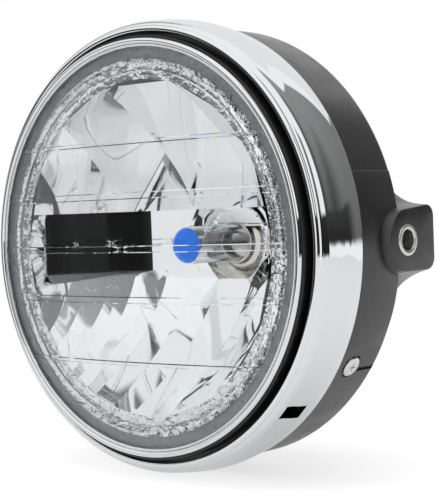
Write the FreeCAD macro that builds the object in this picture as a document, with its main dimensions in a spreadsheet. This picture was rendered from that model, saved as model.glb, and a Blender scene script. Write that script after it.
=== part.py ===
# A round motorcycle headlight: a black moulded case with two side ears, a chromed rim, a clear ridged
# lens bonded to a faceted reflector, and a two-filament bulb with its rubber boot.
# Millimetres. +Z is up, the lens faces -Y, and the origin lies on the axis of the two ears, midway
# between them. Every piece is drawn with y = 0 at the joint between rim and case, and its placement
# then carries it to the ear axis.

import FreeCAD, Part
import Sketcher
import math
import os
from types import SimpleNamespace

Vector = FreeCAD.Vector

# Driving dimensions. Distances named front or back are measured along the lamp's axis from the joint
# between rim and case, and radii from that axis.
SIZES = {
    "ear_setback": 25.5,
    "fit_gap": 0.3,
    "seat_gap": 0.1,
    "thread_gap": 0.05,
    "case_radius": 93.4,
    "case_pad_step": 0.8,
    "case_pad_top_angle": 17.5,
    "case_pad_low_angle": 27.5,
    "case_band": 28.0,
    "case_shoulder": 5.0,
    "connector_room": 4.4,
    "case_back_radius": 44.0,
    "case_back_round": 9.0,
    "case_wall": 2.5,
    "case_spigot": 7.0,
    "case_dome_rise": 2.0,
    "ear_reach": 4.6,
    "ear_half_height": 12.5,
    "ear_front": 11.0,
    "ear_rear": 19.5,
    "ear_rear_rise": 12.3,
    "ear_rear_drop": 10.8,
    "ear_corner": 3.5,
    "ear_front_share": 0.2,
    "ear_flare_depth": 17.0,
    "ear_flare_swell": 13.0,
    "bush_bore": 8.5,
    "bush_wall": 2.1,
    "bush_length": 8.6,
    "bush_proud": 0.7,
    "rim_step": 1.6,
    "rim_bulge": 1.0,
    "rim_belly": 9.0,
    "rim_shoulder": 17.5,
    "rim_front": 25.6,
    "rim_lip_drop": 5.2,
    "rim_lip_turn": 3.8,
    "rim_sheet": 1.2,
    "rim_hem": 4.0,
    "rim_bead_width": 2.6,
    "rim_bead_rise": 1.1,
    "window_angle": 43.5,
    "window_back": 9.5,
    "window_length": 12.5,
    "window_width": 7.0,
    "tongue_gap": 0.6,
    "bezel_cover": 3.9,
    "bezel_bead_width": 2.6,
    "bezel_groove": 0.7,
    "bezel_step": 2.5,
    "bezel_proud": 4.3,
    "bezel_bead": 1.8,
    "bezel_sheet": 0.9,
    "bezel_flange": 3.5,
    "bezel_flange_drop": 1.2,
    "seal_sheet": 0.7,
    "seal_proud": 2.7,
    "lens_flange": 8.4,
    "lens_edge_step": 2.1,
    "lens_rise": 8.0,
    "lens_wall": 3.0,
    "lens_flange_sink": 2.0,
    "lens_flange_sheet": 2.5,
    "lens_flange_inset": 2.3,
    "ridge_rise": 0.6,
    "ridge_width": 2.2,
    "ridge_thin_width": 1.1,
    "ridge_upper": 22.0,
    "ridge_lower": 21.0,
    "ridge_top": 44.0,
    "ridge_bottom": 47.5,
    "sealant_width": 6.5,
    "dish_inset": 5.6,
    "sealant_bed": 0.8,
    "dish_focus": 20.2,
    "dish_wall": 2.2,
    "dish_plate": 2.0,
    "dish_flange": 1.5,
    "flute_depth": 1.0,
    "trough_inset": 3.5,
    "trough_top": 15.5,
    "trough_end_drop": 16.5,
    "trough_bulb_drop": 6.0,
    "trough_sink": 0.6,
    "neck_radius": 19.0,
    "neck_wall": 2.6,
    "neck_length": 8.6,
    "glass_radius": 8.1,
    "glass_wall": 0.9,
    "glass_length": 35.0,
    "glass_tip_flat": 1.5,
    "collar_nose": 7.5,
    "collar_socket": 3.0,
    "collar_wall": 1.2,
    "collar_flange": 1.2,
    "collar_flange_inset": 0.2,
    "collar_cup_radius": 12.5,
    "collar_cup_length": 7.0,
    "filament_radius": 0.9,
    "filament_length": 5.5,
    "low_beam_reach": 29.5,
    "shield_radius": 3.4,
    "shield_length": 8.5,
    "shield_sheet": 0.5,
    "shield_angle": 150.0,
    "lead_radius": 0.5,
    "lead_offset": 4.6,
    "insulator_length": 6.0,
    "insulator_round": 1.0,
    "contact_width": 7.8,
    "contact_sheet": 0.8,
    "contact_length": 9.0,
    "contact_offset": 6.5,
    "retainer_sheet": 1.0,
    "retainer_skirt": 3.0,
    "boot_wall": 2.0,
    "boot_lip": 3.0,
    "boot_lap": 0.5,
    "screw_angle": 32.3,
    "screw_back": 10.8,
    "screw_radius": 2.5,
    "screw_head_radius": 4.6,
    "screw_head": 1.5,
    "screw_length": 12.0,
    "recess_depth": 1.3,
    "recess_gap": 0.7,
    "slot_width": 2.0,
    "slot_depth": 1.0,
    "slot_offset": 2.0,
    "washer_sheet": 0.6,
    "lug_sheet": 1.8,
    "lug_width": 14.0,
    "nut_width": 8.0,
    "nut_height": 3.6,
    "cable_drop": 18.0,
    "cable_hole_radius": 14.0,
    "grommet_bore": 18.0,
    "grommet_lip": 3.0,
    "grommet_sheet": 2.2,
}
DISH_RINGS = 4

# Where the reflector's facets meet, right to left, as shares of the dish's radius to either side.
UPPER_FACET_EDGES = (0.87, 0.65, 0.28, -0.28, -0.65, -0.87)
LOWER_FACET_EDGES = (0.85, 0.7, 0.6, 0.45, 0.14, -0.14, -0.45, -0.6, -0.7, -0.85)
TROUGH_FOLDS = (0.73, 0.54)

# How far to the side a facet's edge may lie, as a share of a ring's radius, for an edge plane through the
# axis and for one at the mouth's side, and the share of the mouth's radius at which the flutes run out.
INNER_EDGE_LIMIT = 0.9
OUTER_EDGE_LIMIT = 0.99
FLUTE_END = 0.68

doc = FreeCAD.newDocument("RoundHeadlight")
sheet = doc.addObject("Spreadsheet::Sheet", "Sizes")
for row, (alias, number) in enumerate(SIZES.items(), start=1):
    sheet.set(f"A{row}", alias)
    sheet.set(f"B{row}", str(number))
    sheet.setAlias(f"B{row}", alias)
doc.recompute()


class Size:
    """A number with the sheet expression that it comes from."""

    def __init__(self, number, words):
        self.number = number
        self.words = words

    def joined(self, mark, other, number):
        return Size(number, f"({self.words} {mark} {other.words})")

    def __add__(self, other):
        other = as_size(other)
        return self.joined("+", other, self.number + other.number)

    def __sub__(self, other):
        other = as_size(other)
        return self.joined("-", other, self.number - other.number)

    def __mul__(self, other):
        other = as_size(other)
        return self.joined("*", other, self.number * other.number)

    def __truediv__(self, other):
        other = as_size(other)
        return self.joined("/", other, self.number / other.number)

    def __neg__(self):
        return Size(-self.number, f"(-{self.words})")

    def __rsub__(self, other):
        return as_size(other) - self


def as_size(value):
    if isinstance(value, Size):
        return value
    return Size(value, repr(value))


def square_root(value):
    return Size(math.sqrt(value.number), f"sqrt({value.words})")


size = SimpleNamespace(**{alias: Size(number, f"Sizes.{alias}") for alias, number in SIZES.items()})

# Sizes that follow from the driving ones: outwards from the case to its ears and rim, inwards through the
# bezel and lens to the reflector, and back along the bulb to the case's rear wall.
size.ear_face = size.case_radius + size.ear_reach
size.rim_radius = size.case_radius + size.rim_step
size.rim_lip_radius = size.rim_radius - size.rim_lip_drop
size.rim_lip_back = size.rim_front - size.rim_lip_turn
size.bezel_radius = size.rim_lip_radius - size.bezel_step
size.bezel_groove_radius = size.bezel_radius - size.bezel_bead_width
size.bezel_inner_radius = size.bezel_radius - size.bezel_cover
size.bezel_front = size.rim_front + size.bezel_proud
size.bezel_lip = size.bezel_front - size.bezel_bead
size.bezel_flange_radius = size.bezel_radius + size.bezel_flange
size.bezel_flange_front = size.rim_lip_back - size.bezel_flange_drop
size.seal_front = size.rim_front + size.seal_proud
size.lens_flange_radius = size.bezel_radius - size.lens_flange_inset
size.lens_clear_radius = size.lens_flange_radius - size.lens_flange
size.lens_flange_front = size.bezel_front - size.lens_flange_sink
size.lens_flange_back = size.lens_flange_front - size.lens_flange_sheet
size.lens_edge_front = size.lens_flange_front + size.lens_edge_step
size.lens_crown = size.lens_edge_front + size.lens_rise
size.sealant_inner_radius = size.lens_flange_radius - size.sealant_width
size.dish_radius = size.lens_clear_radius - size.dish_inset
size.dish_front = size.lens_flange_back - size.sealant_bed
size.trough_reach = size.dish_radius - size.trough_inset
neck_span = size.dish_radius * size.dish_radius - size.neck_radius * size.neck_radius
neck_front = neck_span / (size.dish_focus * 4) - size.dish_front
neck_back = neck_front + size.neck_length
neck_outer = size.neck_radius + size.neck_wall
size.collar_flange_radius = neck_outer - size.collar_flange_inset
cup_start = neck_back + size.collar_flange
cup_end = cup_start + size.collar_cup_length
insulator_end = cup_end + size.insulator_length
cavity_end = insulator_end + size.contact_length + size.connector_room
size.case_depth = cavity_end + size.case_wall


def via(u, v):
    """Mark a point that the arc between its two neighbours passes through."""
    return (u, v, "via")


def new_body(label):
    body = doc.addObject("PartDesign::Body", "Body_" + label)
    body.Label = label
    body.setExpression("Placement.Base.y", (-size.ear_setback).words)
    return body


def new_sketch(body, name, role):
    plane = next(feature for feature in body.Origin.OriginFeatures if feature.Role == role)
    sketch = body.newObject("Sketcher::SketchObject", name)
    sketch.AttachmentSupport = [(plane, "")]
    sketch.MapMode = "FlatFace"
    return sketch


def pin_point(sketch, geometry, vertex, u, v):
    """Bind one point of a sketch to its two distances from the sketch's origin."""
    for kind, axis, distance in (("DistanceX", -2, as_size(u)), ("DistanceY", -1, as_size(v))):
        if distance.words == "0":
            sketch.addConstraint(Sketcher.Constraint("PointOnObject", geometry, vertex, axis))
        else:
            rule = Sketcher.Constraint(kind, -1, 1, geometry, vertex, distance.number)
            index = sketch.addConstraint(rule)
            sketch.setExpression(f"Constraints[{index}]", distance.words)


def arc_through(start, middle, end):
    """The arc through three points, drawn anticlockwise, and whether it runs from start to end."""
    circle = Part.Arc(start, middle, end).toShape().Curve
    centre = circle.Center
    turns_left = (middle - start).cross(end - middle).z > 0
    first, last = (start, end) if turns_left else (end, start)
    angles = [math.atan2(point.y - centre.y, point.x - centre.x) for point in (first, last)]
    ring = Part.Circle(centre, Vector(0, 0, 1), circle.Radius)
    return Part.ArcOfCircle(ring, angles[0], angles[1]), turns_left


def draw(sketch, path):
    """Draw a closed outline of lines and arcs, every corner bound to the sheet."""
    flat = [Vector(as_size(point[0]).number, as_size(point[1]).number, 0) for point in path]
    corners = [index for index, point in enumerate(path) if len(point) == 2]
    ends = []
    for place, index in enumerate(corners):
        following = corners[(place + 1) % len(corners)]
        middle = (index + 1) % len(path)
        if middle == following:
            geometry = sketch.addGeometry(Part.LineSegment(flat[index], flat[following]), False)
            ends.append((geometry, 1, 2))
        else:
            arc, forward = arc_through(flat[index], flat[middle], flat[following])
            geometry = sketch.addGeometry(arc, False)
            ends.append((geometry, 1, 2) if forward else (geometry, 2, 1))
            mark = sketch.addGeometry(Part.Point(flat[middle]), True)
            pin_point(sketch, mark, 1, path[middle][0], path[middle][1])
            sketch.addConstraint(Sketcher.Constraint("PointOnObject", mark, 1, geometry))
    for place, index in enumerate(corners):
        geometry, start, end = ends[place]
        after, after_start, after_end = ends[(place + 1) % len(ends)]
        sketch.addConstraint(Sketcher.Constraint("Coincident", geometry, end, after, after_start))
        pin_point(sketch, geometry, start, path[index][0], path[index][1])


def turn(body, name, path, angle=None, cut=False, axis="H_Axis", role="YZ_Plane"):
    """Turn an outline of (y, radius) points about the lamp's axis, or cut it away."""
    sketch = new_sketch(body, name + "_outline", role)
    draw(sketch, path)
    feature = body.newObject("PartDesign::Groove" if cut else "PartDesign::Revolution", name)
    feature.Profile = sketch
    feature.ReferenceAxis = (sketch, [axis])
    feature.Angle = 360
    if angle is not None:
        feature.Midplane = True
        feature.setExpression("Angle", angle.words)
    return feature


def body_box(body, kind, name, spans):
    """Add a box to a body, or cut one from it, given its three spans."""
    box = body.newObject(kind, name)
    for side, span in zip(("Length", "Width", "Height"), spans):
        box.setExpression(side, as_size(span).words)
    return box


def radial_place(angle, radius, y):
    """A placement whose z points out along a radius of the lamp, at an angle below horizontal."""
    turned = FreeCAD.Rotation(Vector(0, 1, 0), 90 + angle)
    spot = Vector(radius * math.cos(math.radians(angle)), y, -radius * math.sin(math.radians(angle)))
    return FreeCAD.Placement(spot, turned)


def on_both_sides(angle):
    """An angle below horizontal on the right side, and its mirror on the left."""
    return (("right", angle), ("left", 180 - angle))


def loose(label, shape):
    """A piece shaped by hand, carried to the ear axis like the drawn ones."""
    piece = doc.addObject("Part::Feature", "Piece_" + label)
    piece.Label = label
    piece.Shape = shape
    piece.setExpression("Placement.Base.y", (-size.ear_setback).words)
    return piece


# Case: a moulded drum with a spigot that enters the rim, a coned back, side pads and two ears.
pad_radius = size.case_radius + size.case_pad_step
spigot_end = -size.case_spigot
shoulder_run = size.case_shoulder * 0.414
shoulder_drop = size.case_shoulder * 0.293
shoulder_back = size.case_band + shoulder_drop
back_round_start = size.case_depth - size.case_back_round * 0.293
back_face_radius = size.case_back_radius - size.case_back_round * 0.707
cone_middle = (shoulder_back + back_round_start) / 2
cone_middle_radius = (pad_radius - shoulder_drop + size.case_back_radius) / 2 + size.case_dome_rise
inner_radius = size.case_radius - size.case_wall

case = new_body("bucket")
turn(case, "case_drum", [
    (spigot_end, 0),
    (spigot_end, size.case_radius),
    (size.fit_gap, size.case_radius),
    (size.fit_gap, pad_radius),
    (size.case_band - shoulder_run, pad_radius),
    via(size.case_band - size.case_shoulder * 0.032, pad_radius - size.case_shoulder * 0.076),
    (shoulder_back, pad_radius - shoulder_drop),
    via(cone_middle, cone_middle_radius),
    (back_round_start, size.case_back_radius),
    via(size.case_depth - size.case_back_round * 0.076, back_face_radius + size.case_back_round * 0.383),
    (size.case_depth, back_face_radius),
    (size.case_depth, 0),
])

ear_centre = size.ear_setback


def ear_section(name, out, swell):
    """The ear's outline, grown by a swell, in a plane that lies out from the middle of the lamp."""
    sketch = new_sketch(case, name, "YZ_Plane")
    sketch.setExpression("AttachmentOffset.Base.z", out.words)
    high = size.ear_half_height + swell
    rise = size.ear_rear_rise + swell
    drop = size.ear_rear_drop + swell
    front = ear_centre - size.ear_front - swell * size.ear_front_share
    rear = ear_centre + size.ear_rear + swell * size.ear_front_share
    corner = size.ear_corner
    bend = size.ear_corner * 0.29
    draw(sketch, [
        (ear_centre, high),
        via(front, 0),
        (ear_centre, -high),
        (rear - corner, -drop),
        via(rear - bend, -(drop - bend)),
        (rear, -(drop - corner)),
        (rear, rise - corner),
        via(rear - bend, rise - bend),
        (rear - corner, rise),
    ])
    return sketch


# Each ear flares in a hollow curve from its flat outer face down into the drum.
ear_flare = [(0, 0), (0.12, 0.2), (0.42, 0.55), (1, 1), (1.1, 1.8)]
for side, sign in (("right", 1), ("left", -1)):
    sections = []
    for number, (swell_share, depth_share) in enumerate(ear_flare):
        out = (size.ear_face - size.ear_flare_depth * depth_share) * sign
        sections.append(ear_section(f"ear_{side}_{number}", out, size.ear_flare_swell * swell_share))
    ear = case.newObject("PartDesign::AdditiveLoft", f"ear_{side}")
    ear.Profile = sections[0]
    ear.Sections = sections[1:]
    doc.recompute()

pad_cut = [
    (0, size.case_radius),
    (0, pad_radius + 1),
    (size.case_band + size.case_shoulder, pad_radius + 1),
    (size.case_band + size.case_shoulder, size.case_radius),
]
turn(case, "band_above_pads", pad_cut, angle=180 - size.case_pad_top_angle * 2, cut=True)
turn(
    case,
    "band_below_pads",
    [(y, -as_size(radius)) for y, radius in pad_cut],
    angle=180 - size.case_pad_low_angle * 2,
    cut=True,
)
turn(case, "case_cavity", [
    (spigot_end - 1, 0),
    (spigot_end - 1, inner_radius),
    (size.case_band - shoulder_run, inner_radius),
    via(cone_middle - size.case_wall * 0.8, cone_middle_radius - size.case_wall * 0.9),
    (back_round_start - size.case_wall, size.case_back_radius - size.case_wall * 0.6),
    (cavity_end, back_face_radius),
    (cavity_end, 0),
], cut=True)

bore_sketch = new_sketch(case, "ear_bore_outline", "YZ_Plane")
bush_radius = size.bush_bore / 2 + size.bush_wall
bore_ring = Part.Circle(Vector(SIZES["ear_setback"], 0, 0), Vector(0, 0, 1), bush_radius.number)
bore_circle = bore_sketch.addGeometry(bore_ring, False)
pin_point(bore_sketch, bore_circle, 3, ear_centre, 0)
bore_rule = bore_sketch.addConstraint(Sketcher.Constraint("Radius", bore_circle, bush_radius.number))
bore_sketch.setExpression(f"Constraints[{bore_rule}]", bush_radius.words)
ear_bores = case.newObject("PartDesign::Pocket", "ear_bores")
ear_bores.Profile = bore_sketch
ear_bores.SideType = "Symmetric"
ear_bores.setExpression("Length", (size.ear_face * 2 + 2).words)

recess_floor = SIZES["case_radius"] - SIZES["recess_depth"]
slot_floor = SIZES["case_radius"] - SIZES["slot_depth"]
slot_spans = (size.slot_width, size.case_depth - size.screw_back, size.slot_depth * 4)
for side, angle in on_both_sides(SIZES["screw_angle"]):
    recess = case.newObject("PartDesign::SubtractiveCylinder", f"screw_recess_{side}")
    recess.setExpression("Radius", (size.screw_head_radius + size.recess_gap).words)
    recess.setExpression("Height", (size.recess_depth * 4).words)
    recess.Placement = radial_place(angle, recess_floor, SIZES["screw_back"])
    hole = case.newObject("PartDesign::SubtractiveCylinder", f"screw_hole_{side}")
    hole.setExpression("Radius", (size.screw_radius + size.fit_gap).words)
    hole.setExpression("Height", (size.case_wall * 3).words)
    hole.Placement = radial_place(angle, recess_floor - 2 * SIZES["case_wall"], SIZES["screw_back"])
    below = SIZES["slot_offset"] if side == "right" else -SIZES["slot_offset"]
    slot_corner = Vector(below - SIZES["slot_width"] / 2, SIZES["screw_back"], slot_floor)
    slot = body_box(case, "PartDesign::SubtractiveBox", f"screw_slot_{side}", slot_spans)
    slot.Placement = radial_place(angle, 0, 0) * FreeCAD.Placement(slot_corner, FreeCAD.Rotation())

cable_sketch = new_sketch(case, "cable_hole_outline", "XZ_Plane")
cable_centre = Vector(0, -SIZES["cable_drop"], 0)
cable_ring = Part.Circle(cable_centre, Vector(0, 0, 1), SIZES["cable_hole_radius"])
cable_circle = cable_sketch.addGeometry(cable_ring, False)
pin_point(cable_sketch, cable_circle, 3, 0, -size.cable_drop)
cable_limit = Sketcher.Constraint("Radius", cable_circle, SIZES["cable_hole_radius"])
cable_rule = cable_sketch.addConstraint(cable_limit)
cable_sketch.setExpression(f"Constraints[{cable_rule}]", size.cable_hole_radius.words)
cable_hole = case.newObject("PartDesign::Pocket", "cable_hole")
cable_hole.Profile = cable_sketch
cable_hole.setExpression("Length", (size.case_depth + 1).words)
doc.recompute()

# Ear bushes: steel sleeves pressed into the ears, standing a little proud of the outer faces.
for side, sign in (("right", 1), ("left", -1)):
    bush = new_body(f"ear_bush_{side}")
    outer_end = (size.ear_face + size.bush_proud) * sign
    inner_end = (size.ear_face + size.bush_proud - size.bush_length) * sign
    bush_sketch = new_sketch(bush, f"bush_{side}_outline", "XY_Plane")
    bore_wall = ear_centre + size.bush_bore / 2
    draw(bush_sketch, [
        (inner_end, bore_wall),
        (outer_end, bore_wall),
        (outer_end, ear_centre + bush_radius),
        (inner_end, ear_centre + bush_radius),
    ])
    axis_line = bush_sketch.addGeometry(
        Part.LineSegment(Vector(0, SIZES["ear_setback"], 0), Vector(1, SIZES["ear_setback"], 0)), True
    )
    pin_point(bush_sketch, axis_line, 1, 0, ear_centre)
    pin_point(bush_sketch, axis_line, 2, 1, ear_centre)
    sleeve = bush.newObject("PartDesign::Revolution", f"sleeve_{side}")
    sleeve.Profile = bush_sketch
    sleeve.ReferenceAxis = (bush_sketch, ["Axis0"])
    sleeve.Angle = 360

# Chrome rim: a spun sheet ring with a bulged band, a rolled shoulder, a bead and return lip in front, and
# a hemmed edge behind.
rim_inner = size.rim_radius - size.rim_sheet
hem_radius = size.case_radius + size.fit_gap
lip_outer = size.rim_lip_radius + size.rim_sheet
bead_radius = size.rim_lip_radius + size.rim_bead_width
bead_foot = size.rim_front - size.rim_bead_rise
shoulder_middle = (bead_foot + size.rim_shoulder) / 2 + size.rim_sheet * 0.8
shoulder_middle_radius = (size.rim_radius + bead_radius) / 2 + size.rim_sheet * 0.6

rim = new_body("chrome_rim")
turn(rim, "rim_section", [
    (0, hem_radius),
    (0, size.rim_radius),
    via(-size.rim_belly, size.rim_radius + size.rim_bulge),
    (-size.rim_shoulder, size.rim_radius),
    via(-shoulder_middle, shoulder_middle_radius),
    (-bead_foot, bead_radius),
    via(-size.rim_front, (bead_radius + size.rim_lip_radius) / 2),
    (-bead_foot, size.rim_lip_radius),
    (-size.rim_lip_back, size.rim_lip_radius),
    (-size.rim_lip_back, lip_outer),
    (-(bead_foot - size.rim_sheet), lip_outer),
    (-(bead_foot - size.rim_sheet), bead_radius),
    via(-(shoulder_middle - size.rim_sheet * 0.7), shoulder_middle_radius - size.rim_sheet * 0.7),
    (-size.rim_shoulder, rim_inner),
    via(-size.rim_belly, rim_inner + size.rim_bulge),
    (-size.rim_hem, rim_inner + size.rim_bulge * 0.6),
    (-size.rim_hem, hem_radius),
])
doc.recompute()

# Windows lanced in the rim's band, each with a tongue bent back from its front edge behind the light unit.
unit_flange_front = size.bezel_flange_front - size.bezel_sheet - size.seat_gap
unit_flange_back = unit_flange_front - size.dish_flange
window_front = -SIZES["window_back"] - SIZES["window_length"]
tongue_level = shoulder_middle_radius.number - SIZES["rim_sheet"] * 1.2
tongue_root = Vector(0, window_front - SIZES["rim_sheet"], tongue_level)
tongue_reach = size.bezel_flange_radius.number + SIZES["fit_gap"]
tongue_tip = Vector(0, SIZES["fit_gap"] - unit_flange_back.number, tongue_reach)
tongue_run = tongue_tip - tongue_root
tongue_width = size.window_width - size.tongue_gap * 2
for side, angle in on_both_sides(SIZES["window_angle"]):
    outwards = radial_place(angle, 0, 0)
    window_corner = Vector(-SIZES["window_width"] / 2, window_front, lip_outer.number + SIZES["rim_sheet"])
    window_spans = (size.window_width, size.window_length, size.rim_sheet * 6)
    window = body_box(rim, "PartDesign::SubtractiveBox", f"window_{side}", window_spans)
    window.Placement = outwards * FreeCAD.Placement(window_corner, FreeCAD.Rotation())
    tongue_corner = FreeCAD.Placement(Vector(-tongue_width.number / 2, 0, 0), FreeCAD.Rotation())
    tongue_slope = FreeCAD.Placement(tongue_root, FreeCAD.Rotation(Vector(0, 1, 0), tongue_run))
    tongue_spans = (tongue_width, tongue_run.Length, size.rim_sheet)
    tongue = body_box(rim, "PartDesign::AdditiveBox", f"tongue_{side}", tongue_spans)
    tongue.Placement = outwards * tongue_slope * tongue_corner
doc.recompute()

# Bezel ring: a chromed ring with two beads that covers the lens's edge, a skirt and a rear flange.
bezel_skirt = size.bezel_radius - size.bezel_sheet
bezel_flange_back = size.bezel_flange_front - size.bezel_sheet
bezel = new_body("bezel_ring")
turn(bezel, "bezel_section", [
    (-size.bezel_lip, size.bezel_inner_radius),
    via(-(size.bezel_front - size.bezel_groove), (size.bezel_inner_radius + size.bezel_groove_radius) / 2),
    (-(size.bezel_front - size.bezel_groove * 2), size.bezel_groove_radius),
    via(-size.bezel_front, (size.bezel_groove_radius + size.bezel_radius) / 2),
    (-(size.bezel_front - size.bezel_groove * 2), size.bezel_radius),
    (-size.bezel_flange_front, size.bezel_radius),
    (-size.bezel_flange_front, size.bezel_flange_radius),
    (-bezel_flange_back, size.bezel_flange_radius),
    (-bezel_flange_back, bezel_skirt),
    (-size.bezel_lip, bezel_skirt),
])

# Rim seal: a black rubber ring of L section, its sleeve on the bezel's skirt and its foot on the flange.
seal_inner = size.bezel_radius + size.seat_gap
seal_foot_back = size.bezel_flange_front + size.seat_gap
seal_foot_front = size.rim_lip_back - size.seat_gap
seal = new_body("rim_seal")
turn(seal, "seal_section", [
    (-size.seal_front, seal_inner),
    (-size.seal_front, seal_inner + size.seal_sheet),
    (-seal_foot_front, seal_inner + size.seal_sheet),
    (-seal_foot_front, size.bezel_flange_radius),
    (-seal_foot_back, size.bezel_flange_radius),
    (-seal_foot_back, seal_inner),
])

# Lens: a clear moulded dome with a flat flange, and level ridges that stand on its outer face.
inner_crown = size.lens_crown - size.lens_wall
inner_edge = size.lens_clear_radius - size.lens_wall
inner_edge_front = size.lens_edge_front - size.lens_wall * 0.9
edge_slope_end = size.lens_clear_radius + size.lens_edge_front - size.lens_flange_front
ridge_crown = size.lens_crown + size.ridge_rise
ridge_edge = size.lens_edge_front + size.ridge_rise


def dome_middle(crown, edge_front, edge_radius):
    """The point half way out on the ball-shaped dome between its crown and its edge."""
    rise = crown - edge_front
    ball = (edge_radius * edge_radius + rise * rise) / (rise * 2)
    half = edge_radius / 2
    drop = ball - square_root(ball * ball - half * half)
    return via(drop - crown, half)


lens = new_body("lens")
turn(lens, "lens_dome", [
    (-size.lens_crown, 0),
    dome_middle(size.lens_crown, size.lens_edge_front, size.lens_clear_radius),
    (-size.lens_edge_front, size.lens_clear_radius),
    (-size.lens_flange_front, edge_slope_end),
    (-size.lens_flange_front, size.lens_flange_radius),
    (-size.lens_flange_back, size.lens_flange_radius),
    (-size.lens_flange_back, 0),
])
for name, height, width in (
    ("ridge_top", size.ridge_top, size.ridge_thin_width),
    ("ridge_upper", size.ridge_upper, size.ridge_width),
    ("ridge_middle", as_size(0), size.ridge_width),
    ("ridge_lower", -size.ridge_lower, size.ridge_width),
    ("ridge_bottom", -size.ridge_bottom, size.ridge_thin_width),
):
    far = Size(abs(height.number), f"abs({height.words})") + width / 2
    reach = square_root(size.lens_clear_radius * size.lens_clear_radius - far * far)
    slab_spans = (reach * 2, ridge_crown - size.lens_flange_front, width)
    slab = body_box(lens, "PartDesign::AdditiveBox", name, slab_spans)
    slab.setExpression("Placement.Base.x", (-reach).words)
    slab.setExpression("Placement.Base.y", (-ridge_crown).words)
    slab.setExpression("Placement.Base.z", (height - width / 2).words)
turn(lens, "ridge_crests", [
    (-ridge_crown, 0),
    dome_middle(ridge_crown, ridge_edge, size.lens_clear_radius),
    (-ridge_edge, size.lens_clear_radius),
    (-(ridge_crown + 1), size.lens_clear_radius),
    (-(ridge_crown + 1), 0),
], cut=True)
turn(lens, "lens_hollow", [
    (1 - size.lens_flange_back, 0),
    (1 - size.lens_flange_back, inner_edge),
    (-inner_edge_front, inner_edge),
    dome_middle(inner_crown, inner_edge_front, inner_edge),
    (-inner_crown, 0),
], cut=True)
doc.recompute()

# Sealant: the bead that bonds the lens's flange to the reflector's plate.
sealant = new_body("lens_sealant")
turn(sealant, "sealant_section", [
    (-size.lens_flange_back, size.sealant_inner_radius),
    (-size.lens_flange_back, size.lens_flange_radius),
    (-size.dish_front, size.lens_flange_radius),
    (-size.dish_front, size.sealant_inner_radius),
])

# Reflector: a moulded dish, metallised inside. Its wall follows a paraboloid, broken into facets that meet
# in upright planes, broad above and narrower below, where they are also fluted. A level trough runs across
# the middle, with a cup round the lens's edge and a neck for the bulb.


def dish_depth(radius):
    """Where the paraboloid lies, along the lamp's axis, at a radius."""
    return (size.dish_radius.number ** 2 - radius ** 2) / (4 * SIZES["dish_focus"]) - size.dish_front.number


def facet_corner(share, radius, y, way):
    """Where a facet's upright edge plane meets a ring, or the ring's side where the ring is too small."""
    widest = INNER_EDGE_LIMIT + (OUTER_EDGE_LIMIT - INNER_EDGE_LIMIT) * abs(share)
    across = math.copysign(min(abs(share) * size.dish_radius.number / radius, widest), share)
    return Vector(radius * across, y, way * radius * math.sqrt(1 - across ** 2))


def dish_ring(radius, y):
    """One closed ring of the faceted wall: chords all round, the lower ones folded out half way."""
    right = Vector(radius, y, 0)
    left = Vector(-radius, y, 0)
    points = [right]
    points += [facet_corner(share, radius, y, 1) for share in UPPER_FACET_EDGES]
    points.append(left)
    lower = [facet_corner(share, radius, y, -1) for share in reversed(LOWER_FACET_EDGES)]
    flute_share = (radius / size.dish_radius.number - FLUTE_END) / (1 - FLUTE_END)
    fold = SIZES["flute_depth"] * max(0, flute_share)
    for start, end in zip(lower, lower[1:]):
        middle = (start + end) / 2
        outwards = Vector(middle.x, 0, middle.z).normalize()
        points += [start, middle + outwards * fold]
    points.append(lower[-1])
    return Part.makePolygon(points + points[:1])


def trough_block(margin, front):
    """The level trough across the dish, floored with flat panels and grown all round by a margin."""
    reach = size.trough_reach.number + margin
    sink = SIZES["trough_sink"] + margin
    right = [(reach, front), (reach, dish_depth(size.trough_reach.number) + sink)]
    for share in TROUGH_FOLDS:
        fold = share * size.dish_radius.number
        right.append((fold, dish_depth(fold) + sink))
    right.append((SIZES["neck_radius"], neck_front.number))
    left = [(-x, y) for x, y in reversed(right)]
    height = size.dish_radius.number
    section = Part.makePolygon([Vector(x, y, -height) for x, y in right + left + right[:1]])
    deep = Part.Face(section).extrude(Vector(0, 0, 2 * height))
    top = SIZES["trough_top"] + margin
    end_drop = -SIZES["trough_end_drop"] - margin
    bulb_drop = -SIZES["trough_bulb_drop"] - margin
    outline = [(-reach, top), (reach, top), (reach, end_drop), (0, bulb_drop), (-reach, end_drop)]
    opening = Part.makePolygon([Vector(x, front, z) for x, z in outline + outline[:1]])
    tall = Part.Face(opening).extrude(Vector(0, neck_back.number - front, 0))
    return deep.common(tall)


def run_of_lines(points):
    corners = [Vector(0, y, radius) for y, radius in points]
    return [Part.makeLine(start, end) for start, end in zip(corners, corners[1:])]


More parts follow.
